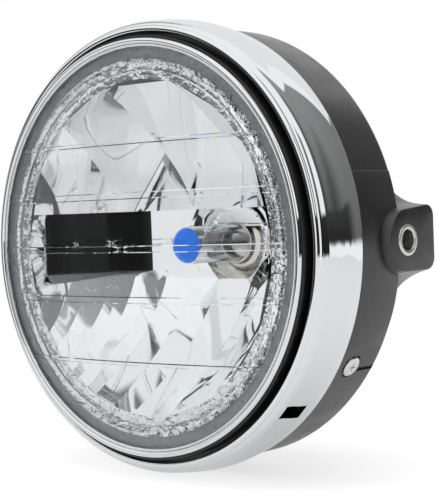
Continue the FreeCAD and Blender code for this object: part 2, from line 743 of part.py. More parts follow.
cup_inner = size.lens_flange_radius.number + SIZES["seat_gap"]
cup_outer = bezel_skirt.number - SIZES["seat_gap"]
cup_front = SIZES["dish_wall"] / 4 - size.lens_flange_front.number
plate_front = -size.dish_front.number
plate_back = plate_front + SIZES["dish_plate"]
back_radius = size.dish_radius.number + SIZES["dish_wall"] + SIZES["flute_depth"]
back_points = []
for step in range(DISH_RINGS + 2):
    share = step / (DISH_RINGS + 1)
    inside = SIZES["neck_radius"] + (size.dish_radius.number - SIZES["neck_radius"]) * share
    outside = neck_outer.number + (back_radius - neck_outer.number) * share
    back_points.append(Vector(0, dish_depth(inside) + SIZES["dish_plate"] * share, outside))
back_points.reverse()
back_curve = Part.BSplineCurve()
back_curve.interpolate(back_points)
reflector_section = run_of_lines([
    (plate_front, 0),
    (plate_front, cup_inner),
    (cup_front, cup_inner),
    (cup_front, cup_outer),
    (-unit_flange_front.number, cup_outer),
    (-unit_flange_front.number, size.bezel_flange_radius.number),
    (-unit_flange_back.number, size.bezel_flange_radius.number),
    (-unit_flange_back.number, cup_inner),
    (plate_back, cup_inner),
    (plate_back, back_radius),
])
reflector_section.append(back_curve.toShape())
reflector_section += run_of_lines([
    (neck_front.number, neck_outer.number),
    (neck_back.number, neck_outer.number),
    (neck_back.number, 0),
    (plate_front, 0),
])
reflector_back = Part.Face(Part.Wire(reflector_section)).revolve(Vector(0, 0, 0), Vector(0, 1, 0), 360)
rings = [dish_ring(size.dish_radius.number, plate_front - 1)]
for step in range(DISH_RINGS + 1):
    share = step / DISH_RINGS
    radius = size.dish_radius.number + (SIZES["neck_radius"] - size.dish_radius.number) * share
    rings.append(dish_ring(radius, dish_depth(radius)))
dish_hollow = Part.makeLoft(rings, True, True)
neck_start = Vector(0, neck_front.number - 1, 0)
neck_bore = SIZES["neck_radius"] - 1
neck_hollow = Part.makeCylinder(neck_bore, SIZES["neck_length"] + 2, neck_start, Vector(0, 1, 0))
reflector_shape = reflector_back.fuse(trough_block(SIZES["dish_wall"], plate_front))
for hollow in (dish_hollow, trough_block(0, plate_front - 1), neck_hollow):
    reflector_shape = reflector_shape.cut(hollow)
reflector = loose("reflector", reflector_shape)

# Bulb: a metal collar whose flange seats on the reflector's neck, with the glass in its socket.
collar_front = neck_back - size.collar_nose
glass_back = collar_front + size.collar_socket
glass_tip = glass_back - size.glass_length
glass_fit = size.glass_radius + size.seat_gap
collar_nose_radius = glass_fit + size.collar_wall
collar = new_body("bulb_collar")
turn(collar, "collar_section", [
    (glass_back, 0),
    (glass_back, glass_fit),
    (collar_front, glass_fit),
    (collar_front, collar_nose_radius),
    (glass_back, collar_nose_radius),
    (neck_back - size.collar_flange, size.collar_cup_radius + size.collar_wall),
    (neck_back, size.collar_cup_radius + size.collar_wall),
    (neck_back, size.collar_flange_radius),
    (cup_start, size.collar_flange_radius),
    (cup_start, size.collar_cup_radius),
    (cup_end, size.collar_cup_radius),
    (cup_end, 0),
])

inner_glass = size.glass_radius - size.glass_wall
dome_share = 0.7071
glass_shoulder = glass_tip + size.glass_radius
glass = new_body("bulb_glass")
turn(glass, "glass_section", [
    (glass_tip, 0),
    (glass_tip, size.glass_tip_flat),
    via(glass_shoulder - size.glass_radius * dome_share, size.glass_radius * dome_share),
    (glass_shoulder, size.glass_radius),
    (glass_back, size.glass_radius),
    (glass_back, inner_glass),
    (glass_shoulder, inner_glass),
    via(glass_shoulder - inner_glass * dome_share, inner_glass * dome_share),
    (glass_tip + size.glass_wall, size.glass_tip_flat),
    (glass_tip + size.glass_wall, 0),
])

# Filaments: two coils in line on the bulb's axis, the leads that carry them, and the half cup under
# the dipped one.
low_front = neck_back - size.low_beam_reach - size.filament_length / 2
low_back = low_front + size.filament_length
high_front = low_back + size.lead_radius * 2
high_back = high_front + size.filament_length
for label, front, back in (
    ("low_beam_filament", low_front, low_back),
    ("high_beam_filament", high_front, high_back),
):
    turn(new_body(label), label + "_coil", [
        (front, 0),
        (front, size.filament_radius),
        (back, size.filament_radius),
        (back, 0),
    ])


def lead(direction, level):
    """A bent lead: along the bulb from its base, then across to the axis."""
    radius = SIZES["lead_radius"]
    foot = direction * SIZES["lead_offset"]
    base = Vector(0, glass_back.number, 0) + foot
    rise = Part.makeCylinder(radius, glass_back.number - level, base, Vector(0, -1, 0))
    knee = Part.makeSphere(radius, Vector(0, level, 0) + foot)
    arm = Part.makeCylinder(radius, SIZES["lead_offset"], Vector(0, level, 0) + foot, -direction)
    return rise.fuse([knee, arm]).removeSplitter()


lead_levels = [
    (Vector(1, 0, 0), low_front.number - SIZES["lead_radius"]),
    (Vector(-1, 0, 0), low_back.number + SIZES["lead_radius"]),
    (Vector(0, 0, 1), high_back.number + SIZES["lead_radius"]),
]
leads = [lead(way, level) for way, level in lead_levels]
filament_supports = loose("filament_supports", Part.makeCompound(leads))

shield = new_body("beam_shield")
shield_start = low_front - (size.shield_length - size.filament_length) / 2
shield_inner = size.shield_radius - size.shield_sheet
turn(shield, "shield_cup", [
    (shield_start, -shield_inner),
    (shield_start, -size.shield_radius),
    (shield_start + size.shield_length, -size.shield_radius),
    (shield_start + size.shield_length, -shield_inner),
], angle=size.shield_angle)

# Rear of the bulb: a moulded insulator behind the collar with three blades, set in a U.
insulator_radius = size.collar_cup_radius - size.boot_lap
turn(new_body("bulb_insulator"), "insulator_section", [
    (cup_end, 0),
    (cup_end, insulator_radius),
    (insulator_end - size.insulator_round, insulator_radius),
    (insulator_end, insulator_radius - size.insulator_round),
    (insulator_end, 0),
])
blade_offset = SIZES["contact_offset"]
blades = []
for x, z, upright in ((0, blade_offset, False), (blade_offset, 0, True), (-blade_offset, 0, True)):
    across, tall = SIZES["contact_width"], SIZES["contact_sheet"]
    if upright:
        across, tall = tall, across
    corner = Vector(x - across / 2, insulator_end.number, z - tall / 2)
    blades.append(Part.makeBox(across, SIZES["contact_length"], tall, corner))
bulb_contacts = loose("bulb_contacts", Part.makeCompound(blades))

# Bulb retainer: a pressed ring that clips over the neck and holds the bulb's flange down.
retainer_inner = neck_outer + size.fit_gap
retainer_outer = retainer_inner + size.retainer_sheet
retainer_back = cup_start + size.retainer_sheet
turn(new_body("bulb_retainer"), "retainer_section", [
    (neck_back - size.retainer_skirt, retainer_inner),
    (neck_back - size.retainer_skirt, retainer_outer),
    (retainer_back, retainer_outer),
    (retainer_back, size.collar_cup_radius + size.fit_gap),
    (cup_start, size.collar_cup_radius + size.fit_gap),
    (cup_start, retainer_inner),
])

# Dust boot: a rubber cap that grips the neck in front and the insulator behind.
boot_front = neck_back - size.retainer_skirt - size.fit_gap - size.boot_lip
boot_inner = retainer_outer + size.fit_gap
boot_outer = boot_inner + size.boot_wall
boot_grip = neck_outer + size.seat_gap
boot_hub = insulator_radius + size.seat_gap
turn(new_body("dust_boot"), "boot_section", [
    (boot_front, boot_grip),
    (boot_front, boot_outer),
    (retainer_back + size.fit_gap, boot_outer),
    (insulator_end - size.boot_lip, boot_hub + size.boot_wall * 1.5),
    (insulator_end - size.insulator_round, boot_hub + size.boot_wall),
    (insulator_end - size.insulator_round, boot_hub),
    (cup_end + size.fit_gap, boot_hub),
    (cup_end + size.fit_gap, size.collar_cup_radius + size.fit_gap),
    (retainer_back + size.fit_gap, boot_inner),
    (boot_front + size.boot_lip, boot_inner),
    (boot_front + size.boot_lip, boot_grip),
])

# Cable grommet: a rubber spool in the rear opening of the case.
grommet_waist = size.cable_hole_radius - size.seat_gap
grommet_flange = size.cable_hole_radius + size.grommet_lip
grommet = new_body("cable_grommet")
grommet.setExpression("Placement.Base.z", (-size.cable_drop).words)
turn(grommet, "grommet_section", [
    (cavity_end - size.seat_gap - size.grommet_sheet, size.grommet_bore / 2),
    (cavity_end - size.seat_gap - size.grommet_sheet, grommet_flange - size.grommet_sheet / 2),
    (cavity_end - size.seat_gap, grommet_flange),
    (cavity_end - size.seat_gap, grommet_waist),
    (size.case_depth + size.seat_gap, grommet_waist),
    (size.case_depth + size.seat_gap, grommet_flange),
    (size.case_depth + size.seat_gap + size.grommet_sheet, grommet_flange - size.grommet_sheet / 2),
    (size.case_depth + size.seat_gap + size.grommet_sheet, size.grommet_bore / 2),
])

# Rim fastening: a bent steel lug inside the rim on each side, a square nut under it, and a washer and
# pan-head screw in the recess of the case.
lug_top = inner_radius.number - 2 * SIZES["fit_gap"]
lug_under = lug_top - SIZES["lug_sheet"]
lug_base = rim_inner.number - 2 * SIZES["fit_gap"]
lug_step = spigot_end.number - SIZES["lug_sheet"]
lug_front = -SIZES["rim_shoulder"] + SIZES["fit_gap"]
lug_end = SIZES["screw_back"] + SIZES["nut_width"]
washer_top = recess_floor + SIZES["washer_sheet"]
out = Vector(0, 0, 1)
seat = Vector(0, SIZES["screw_back"], 0)


def lug_strip():
    """The lug in its own frame: y along the lamp, z out along the radius through the screw."""
    corners = [
        (lug_front, lug_base),
        (lug_step, lug_base),
        (lug_step, lug_top),
        (lug_end, lug_top),
        (lug_end, lug_under),
        (lug_step - SIZES["lug_sheet"], lug_under),
        (lug_step - SIZES["lug_sheet"], lug_base - SIZES["lug_sheet"]),
        (lug_front, lug_base - SIZES["lug_sheet"]),
    ]
    half = SIZES["lug_width"] / 2
    outline = [Vector(-half, y, z) for y, z in corners + corners[:1]]
    strip = Part.Face(Part.makePolygon(outline)).extrude(Vector(SIZES["lug_width"], 0, 0))
    hole_radius = SIZES["screw_radius"] + SIZES["fit_gap"]
    return strip.cut(Part.makeCylinder(hole_radius, lug_base, seat, out))


def square_nut():
    half = SIZES["nut_width"] / 2
    under = lug_under - SIZES["nut_height"]
    corner = Vector(-half, SIZES["screw_back"] - half, under)
    block = Part.makeBox(SIZES["nut_width"], SIZES["nut_width"], SIZES["nut_height"], corner)
    return block.cut(Part.makeCylinder(SIZES["screw_radius"] + SIZES["thread_gap"], lug_under, seat, out))


def plain_washer():
    seat_level = seat + out * recess_floor
    bore_radius = SIZES["screw_radius"] + SIZES["seat_gap"]
    disc = Part.makeCylinder(SIZES["screw_head_radius"], SIZES["washer_sheet"], seat_level, out)
    return disc.cut(Part.makeCylinder(bore_radius, SIZES["washer_sheet"], seat_level, out))


def pan_screw():
    """A pan head with a rounded top and a cross recess, on a plain shank."""
    head_radius = SIZES["screw_head_radius"] - SIZES["seat_gap"]
    level = seat + out * washer_top
    head = Part.makeCylinder(head_radius, SIZES["screw_head"], level, out)
    rounded = head.makeFillet(SIZES["screw_head"] * 0.6, [head.Edges[0]])
    shank_foot = seat + out * (washer_top - SIZES["screw_length"])
    shank = Part.makeCylinder(SIZES["screw_radius"], SIZES["screw_length"], shank_foot, out)
    screw = rounded.fuse(shank).removeSplitter()
    slot_length = head_radius
    slot_width = SIZES["screw_radius"] * 0.4
    slot_floor = washer_top + SIZES["screw_head"] / 2
    for wide, deep in ((slot_length, slot_width), (slot_width, slot_length)):
        corner = Vector(-wide / 2, SIZES["screw_back"] - deep / 2, slot_floor)
        screw = screw.cut(Part.makeBox(wide, deep, SIZES["screw_head"], corner))
    return screw


for label, make in (
    ("rim_lugs", lug_strip),
    ("lug_nuts", square_nut),
    ("screw_washers", plain_washer),
    ("rim_screws", pan_screw),
):
    pair = []
    for side, angle in on_both_sides(SIZES["screw_angle"]):
        piece = make()
        piece.Placement = radial_place(angle, 0, 0)
        pair.append(piece)
    loose(label, Part.makeCompound(pair))

# Build everything, stop if anything failed, and write one file for each piece.
doc.recompute()
pieces = [item for item in doc.Objects if item.Name.startswith(("Body_", "Piece_"))]
for item in doc.Objects:
    if "Invalid" in item.State or "Error" in item.State:
        raise RuntimeError(f"{item.Name} failed: {item.State}")
for piece in pieces:
    if piece.Shape.isNull() or not piece.Shape.isValid():
        raise RuntimeError(f"{piece.Label} has no valid shape")
os.makedirs("parts", exist_ok=True)
for piece in pieces:
    piece.Shape.exportStep(f"parts/{piece.Label}.step")
    solids = len(piece.Shape.Solids)
    print(f"{piece.Label}: {solids} solid(s), {piece.Shape.Volume:.0f} mm3")
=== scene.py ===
# A round motorcycle headlight: a black moulded case, a chromed rim, a clear ridged lens over a faceted
# mirror, and a blue-tipped bulb. The pieces follow in the order in which the lamp is put together.
import bpy
import bmesh
import math
from mathutils import Matrix, Vector


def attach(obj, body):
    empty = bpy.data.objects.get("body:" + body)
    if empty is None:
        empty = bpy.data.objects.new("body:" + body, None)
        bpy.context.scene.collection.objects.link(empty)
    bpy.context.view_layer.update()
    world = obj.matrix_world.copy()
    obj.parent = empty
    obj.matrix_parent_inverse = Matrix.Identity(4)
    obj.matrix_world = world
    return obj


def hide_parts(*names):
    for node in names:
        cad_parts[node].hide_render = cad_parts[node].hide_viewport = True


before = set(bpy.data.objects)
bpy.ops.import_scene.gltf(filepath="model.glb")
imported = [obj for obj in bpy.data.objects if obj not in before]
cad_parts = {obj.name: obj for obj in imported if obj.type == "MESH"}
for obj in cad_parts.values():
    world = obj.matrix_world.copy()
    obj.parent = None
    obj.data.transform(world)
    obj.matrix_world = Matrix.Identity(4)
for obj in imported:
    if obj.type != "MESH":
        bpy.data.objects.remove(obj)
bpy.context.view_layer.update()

# Case: an injection-moulded drum of black plastic with a coned back. It is turned in one section, wall
# and all, and its flat back is closed round the hole that the cable grommet fills.
MM = 0.001
EAR_SETBACK = 25.5
CASE_RADIUS = 93.4
CASE_WALL = 2.5
CASE_BACK = 72.0
CASE_BACK_RADIUS = 36.0
CASE_SPIN = 144
CABLE_DROP = 18.0
CABLE_HOLE = 14.0
ROUND_STEPS = 6


def lamp_point(back, out):
    """A point of a turned section: millimetres behind the joint of rim and case, and out from the axis."""
    return Vector((0, (back - EAR_SETBACK) * MM, out * MM))


def bowed(start, end, rise, steps):
    """Points from start to end, bowed outwards by a rise in the middle."""
    points = []
    for step in range(steps + 1):
        share = step / steps
        back = start[0] + (end[0] - start[0]) * share
        out = start[1] + (end[1] - start[1]) * share + 4 * rise * share * (1 - share)
        points.append((back, out))
    return points


def turned(section, spin, closed=True, centre=lamp_point(0, 0), axis=Vector((0, 1, 0))):
    """Turn a section of points along and out from an axis. A point's third number rounds its corner."""
    shape = bmesh.new()
    outwards = axis.orthogonal().normalized()
    corners = [shape.verts.new(centre + (axis * point[0] + outwards * point[1]) * MM) for point in section]
    runs = list(zip(corners, corners[1:]))
    if closed:
        runs.append((corners[-1], corners[0]))
    for run in runs:
        shape.edges.new(run)
    for corner, point in zip(corners, section):
        if len(point) == 3:
            bmesh.ops.bevel(
                shape, geom=[corner], offset=point[2] * MM, segments=ROUND_STEPS,
                profile=0.5, affect="VERTICES", material=-1,
            )
    bmesh.ops.spin(
        shape, geom=shape.verts[:] + shape.edges[:], cent=centre, axis=axis,
        dvec=(0, 0, 0), angle=2 * math.pi, steps=spin, use_merge=True,
    )
    bmesh.ops.remove_doubles(shape, verts=shape.verts[:], dist=0.000001)
    bmesh.ops.recalc_face_normals(shape, faces=shape.faces)
    return shape


def open_rings(shape):
    """The closed rings of edges that have a face on one side only."""
    return [edge for edge in shape.edges if edge.is_boundary]


def circle_in(shape, segments, radius, turn, place):
    """Add a circle of edges, turned and moved to its place, and give back its points and its edges."""
    points = bmesh.ops.create_circle(shape, segments=segments, radius=radius * MM)["verts"]
    bmesh.ops.rotate(shape, verts=points, cent=(0, 0, 0), matrix=turn)
    bmesh.ops.translate(shape, verts=points, vec=place)
    return points, list({edge for point in points for edge in point.link_edges})


def noise_group(name):
    """A node group that reads Object coordinates into a noise, with its sockets still to be made."""
    group = bpy.data.node_groups.new(name, "ShaderNodeTree")
    group.interface.new_socket("Scale", in_out="INPUT", socket_type="NodeSocketFloat")
    entry = group.nodes.new("NodeGroupInput")
    leave = group.nodes.new("NodeGroupOutput")
    where = group.nodes.new("ShaderNodeTexCoord")
    noise = group.nodes.new("ShaderNodeTexNoise")
    group.links.new(where.outputs["Object"], noise.inputs["Vector"])
    group.links.new(entry.outputs["Scale"], noise.inputs["Scale"])
    return group, entry, leave, noise


# The fine grain of a mould's wall, as a height for bump.
moulded_grain, _, grain_out, grain_noise = noise_group("moulded_grain")
moulded_grain.interface.new_socket("Height", in_out="OUTPUT", socket_type="NodeSocketFloat")
grain_noise.inputs["Detail"].default_value = 3.0
moulded_grain.links.new(grain_noise.outputs["Fac"], grain_out.inputs["Height"])

# The uneven gloss of a handled surface, as a value between a smooth and a rough one.
handled_gloss, gloss_in, gloss_out, gloss_noise = noise_group("handled_gloss")
for gloss_name in ("Smooth", "Rough"):
    handled_gloss.interface.new_socket(gloss_name, in_out="INPUT", socket_type="NodeSocketFloat")
handled_gloss.interface.new_socket("Roughness", in_out="OUTPUT", socket_type="NodeSocketFloat")
gloss_noise.inputs["Detail"].default_value = 5.0
gloss_range = handled_gloss.nodes.new("ShaderNodeMapRange")
gloss_range.inputs["From Min"].default_value = 0.35
gloss_range.inputs["From Max"].default_value = 0.7
handled_gloss.links.new(gloss_noise.outputs["Fac"], gloss_range.inputs["Value"])
handled_gloss.links.new(gloss_in.outputs["Smooth"], gloss_range.inputs["To Min"])
handled_gloss.links.new(gloss_in.outputs["Rough"], gloss_range.inputs["To Max"])
handled_gloss.links.new(gloss_range.outputs["Result"], gloss_out.inputs["Roughness"])

# A colour that drifts between two near tones over the surface. A Mix node's two colours and its result share
# their names with other sockets, so they are told by number.
MIX_FIRST = 6
MIX_SECOND = 7
MIX_RESULT = 2
mottled_tone, tone_in, tone_out, tone_noise = noise_group("mottled_tone")
for tone_name in ("Tone", "Other Tone"):
    mottled_tone.interface.new_socket(tone_name, in_out="INPUT", socket_type="NodeSocketColor")
mottled_tone.interface.new_socket("Colour", in_out="OUTPUT", socket_type="NodeSocketColor")
tone_noise.inputs["Detail"].default_value = 4.0
tone_mix = mottled_tone.nodes.new("ShaderNodeMix")
tone_mix.data_type = "RGBA"
mottled_tone.links.new(tone_noise.outputs["Fac"], tone_mix.inputs[0])
mottled_tone.links.new(tone_in.outputs["Tone"], tone_mix.inputs[MIX_FIRST])
mottled_tone.links.new(tone_in.outputs["Other Tone"], tone_mix.inputs[MIX_SECOND])
mottled_tone.links.new(tone_mix.outputs[MIX_RESULT], tone_out.inputs["Colour"])


def finish(name, tones, gloss, grain, metallic=0.0, tone_scale=60.0, gloss_scale=90.0, grain_depth=0.2):
    """A surface finish: two near tones, two roughnesses, and a grain of (scale, bump strength)."""
    material = bpy.data.materials.new(name)
    material.use_nodes = True
    tree = material.node_tree
    shader = tree.nodes["Principled BSDF"]
    shader.inputs["Metallic"].default_value = metallic
    tone = tree.nodes.new("ShaderNodeGroup")
    tone.node_tree = mottled_tone
    tone.inputs["Scale"].default_value = tone_scale
    tone.inputs["Tone"].default_value = (*tones[0], 1)
    tone.inputs["Other Tone"].default_value = (*tones[1], 1)
    tree.links.new(tone.outputs["Colour"], shader.inputs["Base Color"])
    shine = tree.nodes.new("ShaderNodeGroup")
    shine.node_tree = handled_gloss
    shine.inputs["Scale"].default_value = gloss_scale
    shine.inputs["Smooth"].default_value = gloss[0]
    shine.inputs["Rough"].default_value = gloss[1]
    tree.links.new(shine.outputs["Roughness"], shader.inputs["Roughness"])
    texture = tree.nodes.new("ShaderNodeGroup")
    texture.node_tree = moulded_grain
    texture.inputs["Scale"].default_value = grain[0]
    bump = tree.nodes.new("ShaderNodeBump")
    bump.inputs["Strength"].default_value = grain[1]
    bump.inputs["Distance"].default_value = grain_depth * MM
    tree.links.new(texture.outputs["Height"], bump.inputs["Height"])
    tree.links.new(bump.outputs["Normal"], shader.inputs["Normal"])
    return material


CASE_SPECULAR = 0.9
black_plastic = finish(
    "black_plastic", [(0.016, 0.016, 0.017), (0.024, 0.024, 0.025)], (0.24, 0.36), (1500.0, 0.10),
)
black_plastic.node_tree.nodes["Principled BSDF"].inputs["Specular IOR Level"].default_value = CASE_SPECULAR

cone_start = (69.4, 44.0)
cone_end = (28.4, 92.3)
inner_cone_start = (66.7, 42.5)
inner_cone_end = (25.9, 90.5)
case_section = [(CASE_BACK, CASE_BACK_RADIUS), (CASE_BACK, 40.6, 4.0)]
case_section += bowed(cone_start, cone_end, 2.0, 10)
case_section += [(27.2, CASE_RADIUS, 1.4), (-7.0, CASE_RADIUS, 0.6), (-7.0, CASE_RADIUS - CASE_WALL, 0.6)]
case_section += bowed(inner_cone_end, inner_cone_start, 1.5, 10)
case_section += [(CASE_BACK - CASE_WALL, 38.0), (CASE_BACK - CASE_WALL, CASE_BACK_RADIUS)]
case = turned(case_section, CASE_SPIN, closed=False)
for back in (CASE_BACK, CASE_BACK - CASE_WALL):
    level = lamp_point(back, 0).y
    rim_ring = [edge for edge in open_rings(case) if all(abs(v.co.y - level) < 1e-5 for v in edge.verts)]
    hole_turn = Matrix.Rotation(math.pi / 2, 3, "X")
    hole_ring = circle_in(case, CASE_SPIN, CABLE_HOLE, hole_turn, (0, level, -CABLE_DROP * MM))[1]
    bmesh.ops.bridge_loops(case, edges=rim_ring + hole_ring)
bmesh.ops.bridge_loops(case, edges=open_rings(case))
bmesh.ops.recalc_face_normals(case, faces=case.faces)

# Openings in the drum's sides: a way through the wall behind each ear's bush, a round recess for the head of
# the rim screw, and the groove that runs back from it, all left by slides in the mould.
BORE_WAY = 4.4
SCREW_ANGLE = 32.3
SCREW_BACK = 10.8
RECESS_RADIUS = 5.3
RECESS_DEPTH = 1.3
RECESS_PATCH = 5.6
RECESS_SPIN = 40
GROOVE_DROP = 2.0
GROOVE_WIDTH = 2.0
GROOVE_DEPTH = 1.0
GROOVE_END = 31.0
ALONG = Vector((0, 1, 0))
UP = Vector((0, 0, 1))


def sliced(shape, faces, planes):
    """Cut faces along planes of (place, facing), and give back all their pieces."""
    for place, facing in planes:
        parts = set(faces)
        for face in faces:
            parts.update(face.edges)
            parts.update(face.verts)
        cut = bmesh.ops.bisect_plane(shape, geom=list(parts), plane_co=place, plane_no=facing, dist=1e-7)
        faces = [item for item in cut["geom"] if isinstance(item, bmesh.types.BMFace)]
    return faces


def cut_out(shape, faces, planes):
    """Cut faces along planes that face outwards, and give back the pieces that lie behind them all."""
    inside = []
    for face in sliced(shape, faces, planes):
        middle = face.calc_center_median()
        if all((middle - place).dot(facing) < 0 for place, facing in planes):
            inside.append(face)
    return inside


def sides(centre, *spans):
    """The planes of an opening: for each span of (direction, half width), the two that bound it."""
    planes = []
    for way, half in spans:
        planes += [(centre + way * half * MM, way), (centre - way * half * MM, -way)]
    return planes


def grown_points(grown):
    """The points among the new elements of an extrusion."""
    return [item for item in grown["geom"] if isinstance(item, bmesh.types.BMVert)]


def sunken(shape, faces):
    """Extrude faces, drop the ones left in the old place, and give back the points to be moved."""
    moved = grown_points(bmesh.ops.extrude_face_region(shape, geom=faces))
    bmesh.ops.delete(shape, geom=[face for face in faces if face.is_valid], context="FACES_ONLY")
    return moved


def round_frame(angle, side):
    """The direction out from the axis at an angle below level, and the one round the lamp and upwards."""
    turn = math.radians(angle)
    outward = Vector((side * math.cos(turn), 0, -math.sin(turn)))
    upward = Vector((side * math.sin(turn), 0, math.cos(turn)))
    return outward, upward


def drum_side(shape, outward):
    """The faces of a turned wall on one side, within a few steps of a direction."""
    near = [face for face in shape.faces if abs(face.normal.dot(outward)) > 0.9]
    return [face for face in near if face.calc_center_median().normalized().dot(outward) > 0.9]


for side in (1, -1):
    outward = Vector((side, 0, 0))
    bore_planes = sides(Vector(), (ALONG, BORE_WAY), (UP, BORE_WAY))
    bore_wall = cut_out(case, drum_side(case, outward), bore_planes)
    bmesh.ops.delete(case, geom=bore_wall, context="FACES")
    bmesh.ops.bridge_loops(case, edges=open_rings(case))

    outward, upward = round_frame(SCREW_ANGLE, side)
    screw_seat = lamp_point(SCREW_BACK, 0) + outward * CASE_RADIUS * MM
    outer_wall = [face for face in drum_side(case, outward) if face.normal.dot(outward) > 0]
    groove_start = lamp_point(SCREW_BACK + RECESS_PATCH, 0)
    groove_line = screw_seat - upward * GROOVE_DROP * MM
    groove_planes = sides(groove_line, (upward, GROOVE_WIDTH / 2))
    groove_planes += [(groove_start, -ALONG), (lamp_point(GROOVE_END, 0), ALONG)]
    groove = cut_out(case, outer_wall, groove_planes)
    for point in sunken(case, groove):
        rise = point.co.dot(outward) - (CASE_RADIUS - GROOVE_DEPTH) * MM
        point.co -= outward * max(rise, 0)

    outer_wall = [face for face in drum_side(case, outward) if face.normal.dot(outward) > 0]
    patch_planes = sides(screw_seat, (upward, RECESS_PATCH), (ALONG, RECESS_PATCH))
    bmesh.ops.delete(case, geom=cut_out(case, outer_wall, patch_planes), context="FACES")
    patch_ring = open_rings(case)
    recess_turn = Matrix((upward, ALONG, outward)).transposed()
    recess, recess_ring = circle_in(case, RECESS_SPIN, RECESS_RADIUS, recess_turn, screw_seat)
    for point in recess:
        point.co.xz = point.co.xz.normalized() * CASE_RADIUS * MM
    bmesh.ops.bridge_loops(case, edges=patch_ring + recess_ring)
    recess_foot = grown_points(bmesh.ops.extrude_edge_only(case, edges=recess_ring))
    for point in recess_foot:
        point.co -= outward * (point.co.dot(outward) - (CASE_RADIUS - RECESS_DEPTH) * MM)
    bmesh.ops.contextual_create(case, geom=recess_foot)
bmesh.ops.recalc_face_normals(case, faces=case.faces)

# Side pads: a slight thickening of the drum's wall round the foot of each ear, moulded with it. It starts in
# a step above the ear and fades into the drum below.
PAD_FRONT = 0.8
PAD_REAR = 26.0
PAD_FOOT = 29.0
PAD_EDGE = 0.35
PAD_STEP = 0.8
PAD_TOP_ANGLE = 17.5
PAD_LOW_ANGLE = 27.5
PAD_FADE = 9.0
PAD_STEPS = 18
SHARP_ANGLE = math.radians(32)


def taken_in(shape, other):
    """Add another mesh to this one as a separate shell."""
    carried = bpy.data.meshes.new("carried")
    other.to_mesh(carried)
    other.free()
    shape.from_mesh(carried)
    bpy.data.meshes.remove(carried)


for side in (1, -1):
    pad = bmesh.new()
    pad_section = [
        (PAD_FRONT, CASE_RADIUS - 1), (PAD_FRONT, CASE_RADIUS + PAD_STEP),
        (PAD_REAR, CASE_RADIUS + PAD_STEP), (PAD_FOOT, CASE_RADIUS - 2),
    ]
    pad.faces.new([pad.verts.new(lamp_point(*point)) for point in pad_section])
    start_angle = math.radians(90 - PAD_TOP_ANGLE) * side
    bmesh.ops.rotate(pad, verts=pad.verts[:], cent=(0, 0, 0), matrix=Matrix.Rotation(start_angle, 3, "Y"))
    bmesh.ops.spin(
        pad, geom=pad.verts[:] + pad.edges[:] + pad.faces[:], cent=(0, 0, 0), axis=(0, 1, 0),
        dvec=(0, 0, 0), angle=math.radians(PAD_TOP_ANGLE + PAD_LOW_ANGLE) * side, steps=PAD_STEPS,
    )
    bmesh.ops.recalc_face_normals(pad, faces=pad.faces)
    edges = [edge for edge in pad.edges if edge.calc_face_angle(0) > SHARP_ANGLE]
    bmesh.ops.bevel(
        pad, geom=edges, offset=PAD_EDGE * MM, segments=3, profile=0.5, affect="EDGES", material=-1,
    )
    for point in pad.verts:
        angle = math.degrees(math.asin(-point.co.z / point.co.xz.length))
        fade = min(max((PAD_LOW_ANGLE - angle) / PAD_FADE, 0), 1)
        point.co.xz *= 1 - PAD_STEP * (1 - fade) / CASE_RADIUS
    taken_in(case, pad)

# Ears: solid lugs moulded on the drum's sides, each flaring in a hollow curve from a flat outer face that is
# round in front and square behind, and bored for its bush.
EAR_FACE = 98.0
EAR_FRONT = 11.0
EAR_REAR = 19.5
EAR_HALF_HEIGHT = 12.5
EAR_REAR_RISE = 14.4
EAR_REAR_DROP = 12.4
EAR_CORNER = 5.0
EAR_FLARE_DEPTH = 23.0
EAR_FLARE_SWELL = 10.3
EAR_DRAFT = 0.06
EAR_LOW_DRAFT = 0.28
EAR_FRONT_DRAFT = 0.3
EAR_FRONT_DEPTH = 4.5
EAR_LEVELS = (1.0, 2.5, 4.5, 7.0, 10.0, 13.0, 16.0, 19.0, 22.0, 25.0, 28.0, 31.0)
EAR_ARC_STEPS = 20
EAR_EDGE = 0.6
BUSH_RADIUS = 6.35
BUSH_FACE = 98.7
BUSH_LENGTH = 8.6
BUSH_SPIN = 64
ear_length = EAR_REAR + EAR_FRONT
ear_outline = []
for step in range(EAR_ARC_STEPS + 1):
    sweep = math.pi * (0.5 + step / EAR_ARC_STEPS)
    ear_outline.append((EAR_FRONT * math.cos(sweep), EAR_HALF_HEIGHT * math.sin(sweep)))
ear_outline += [(EAR_REAR, -EAR_REAR_DROP), (EAR_REAR, EAR_REAR_RISE)]
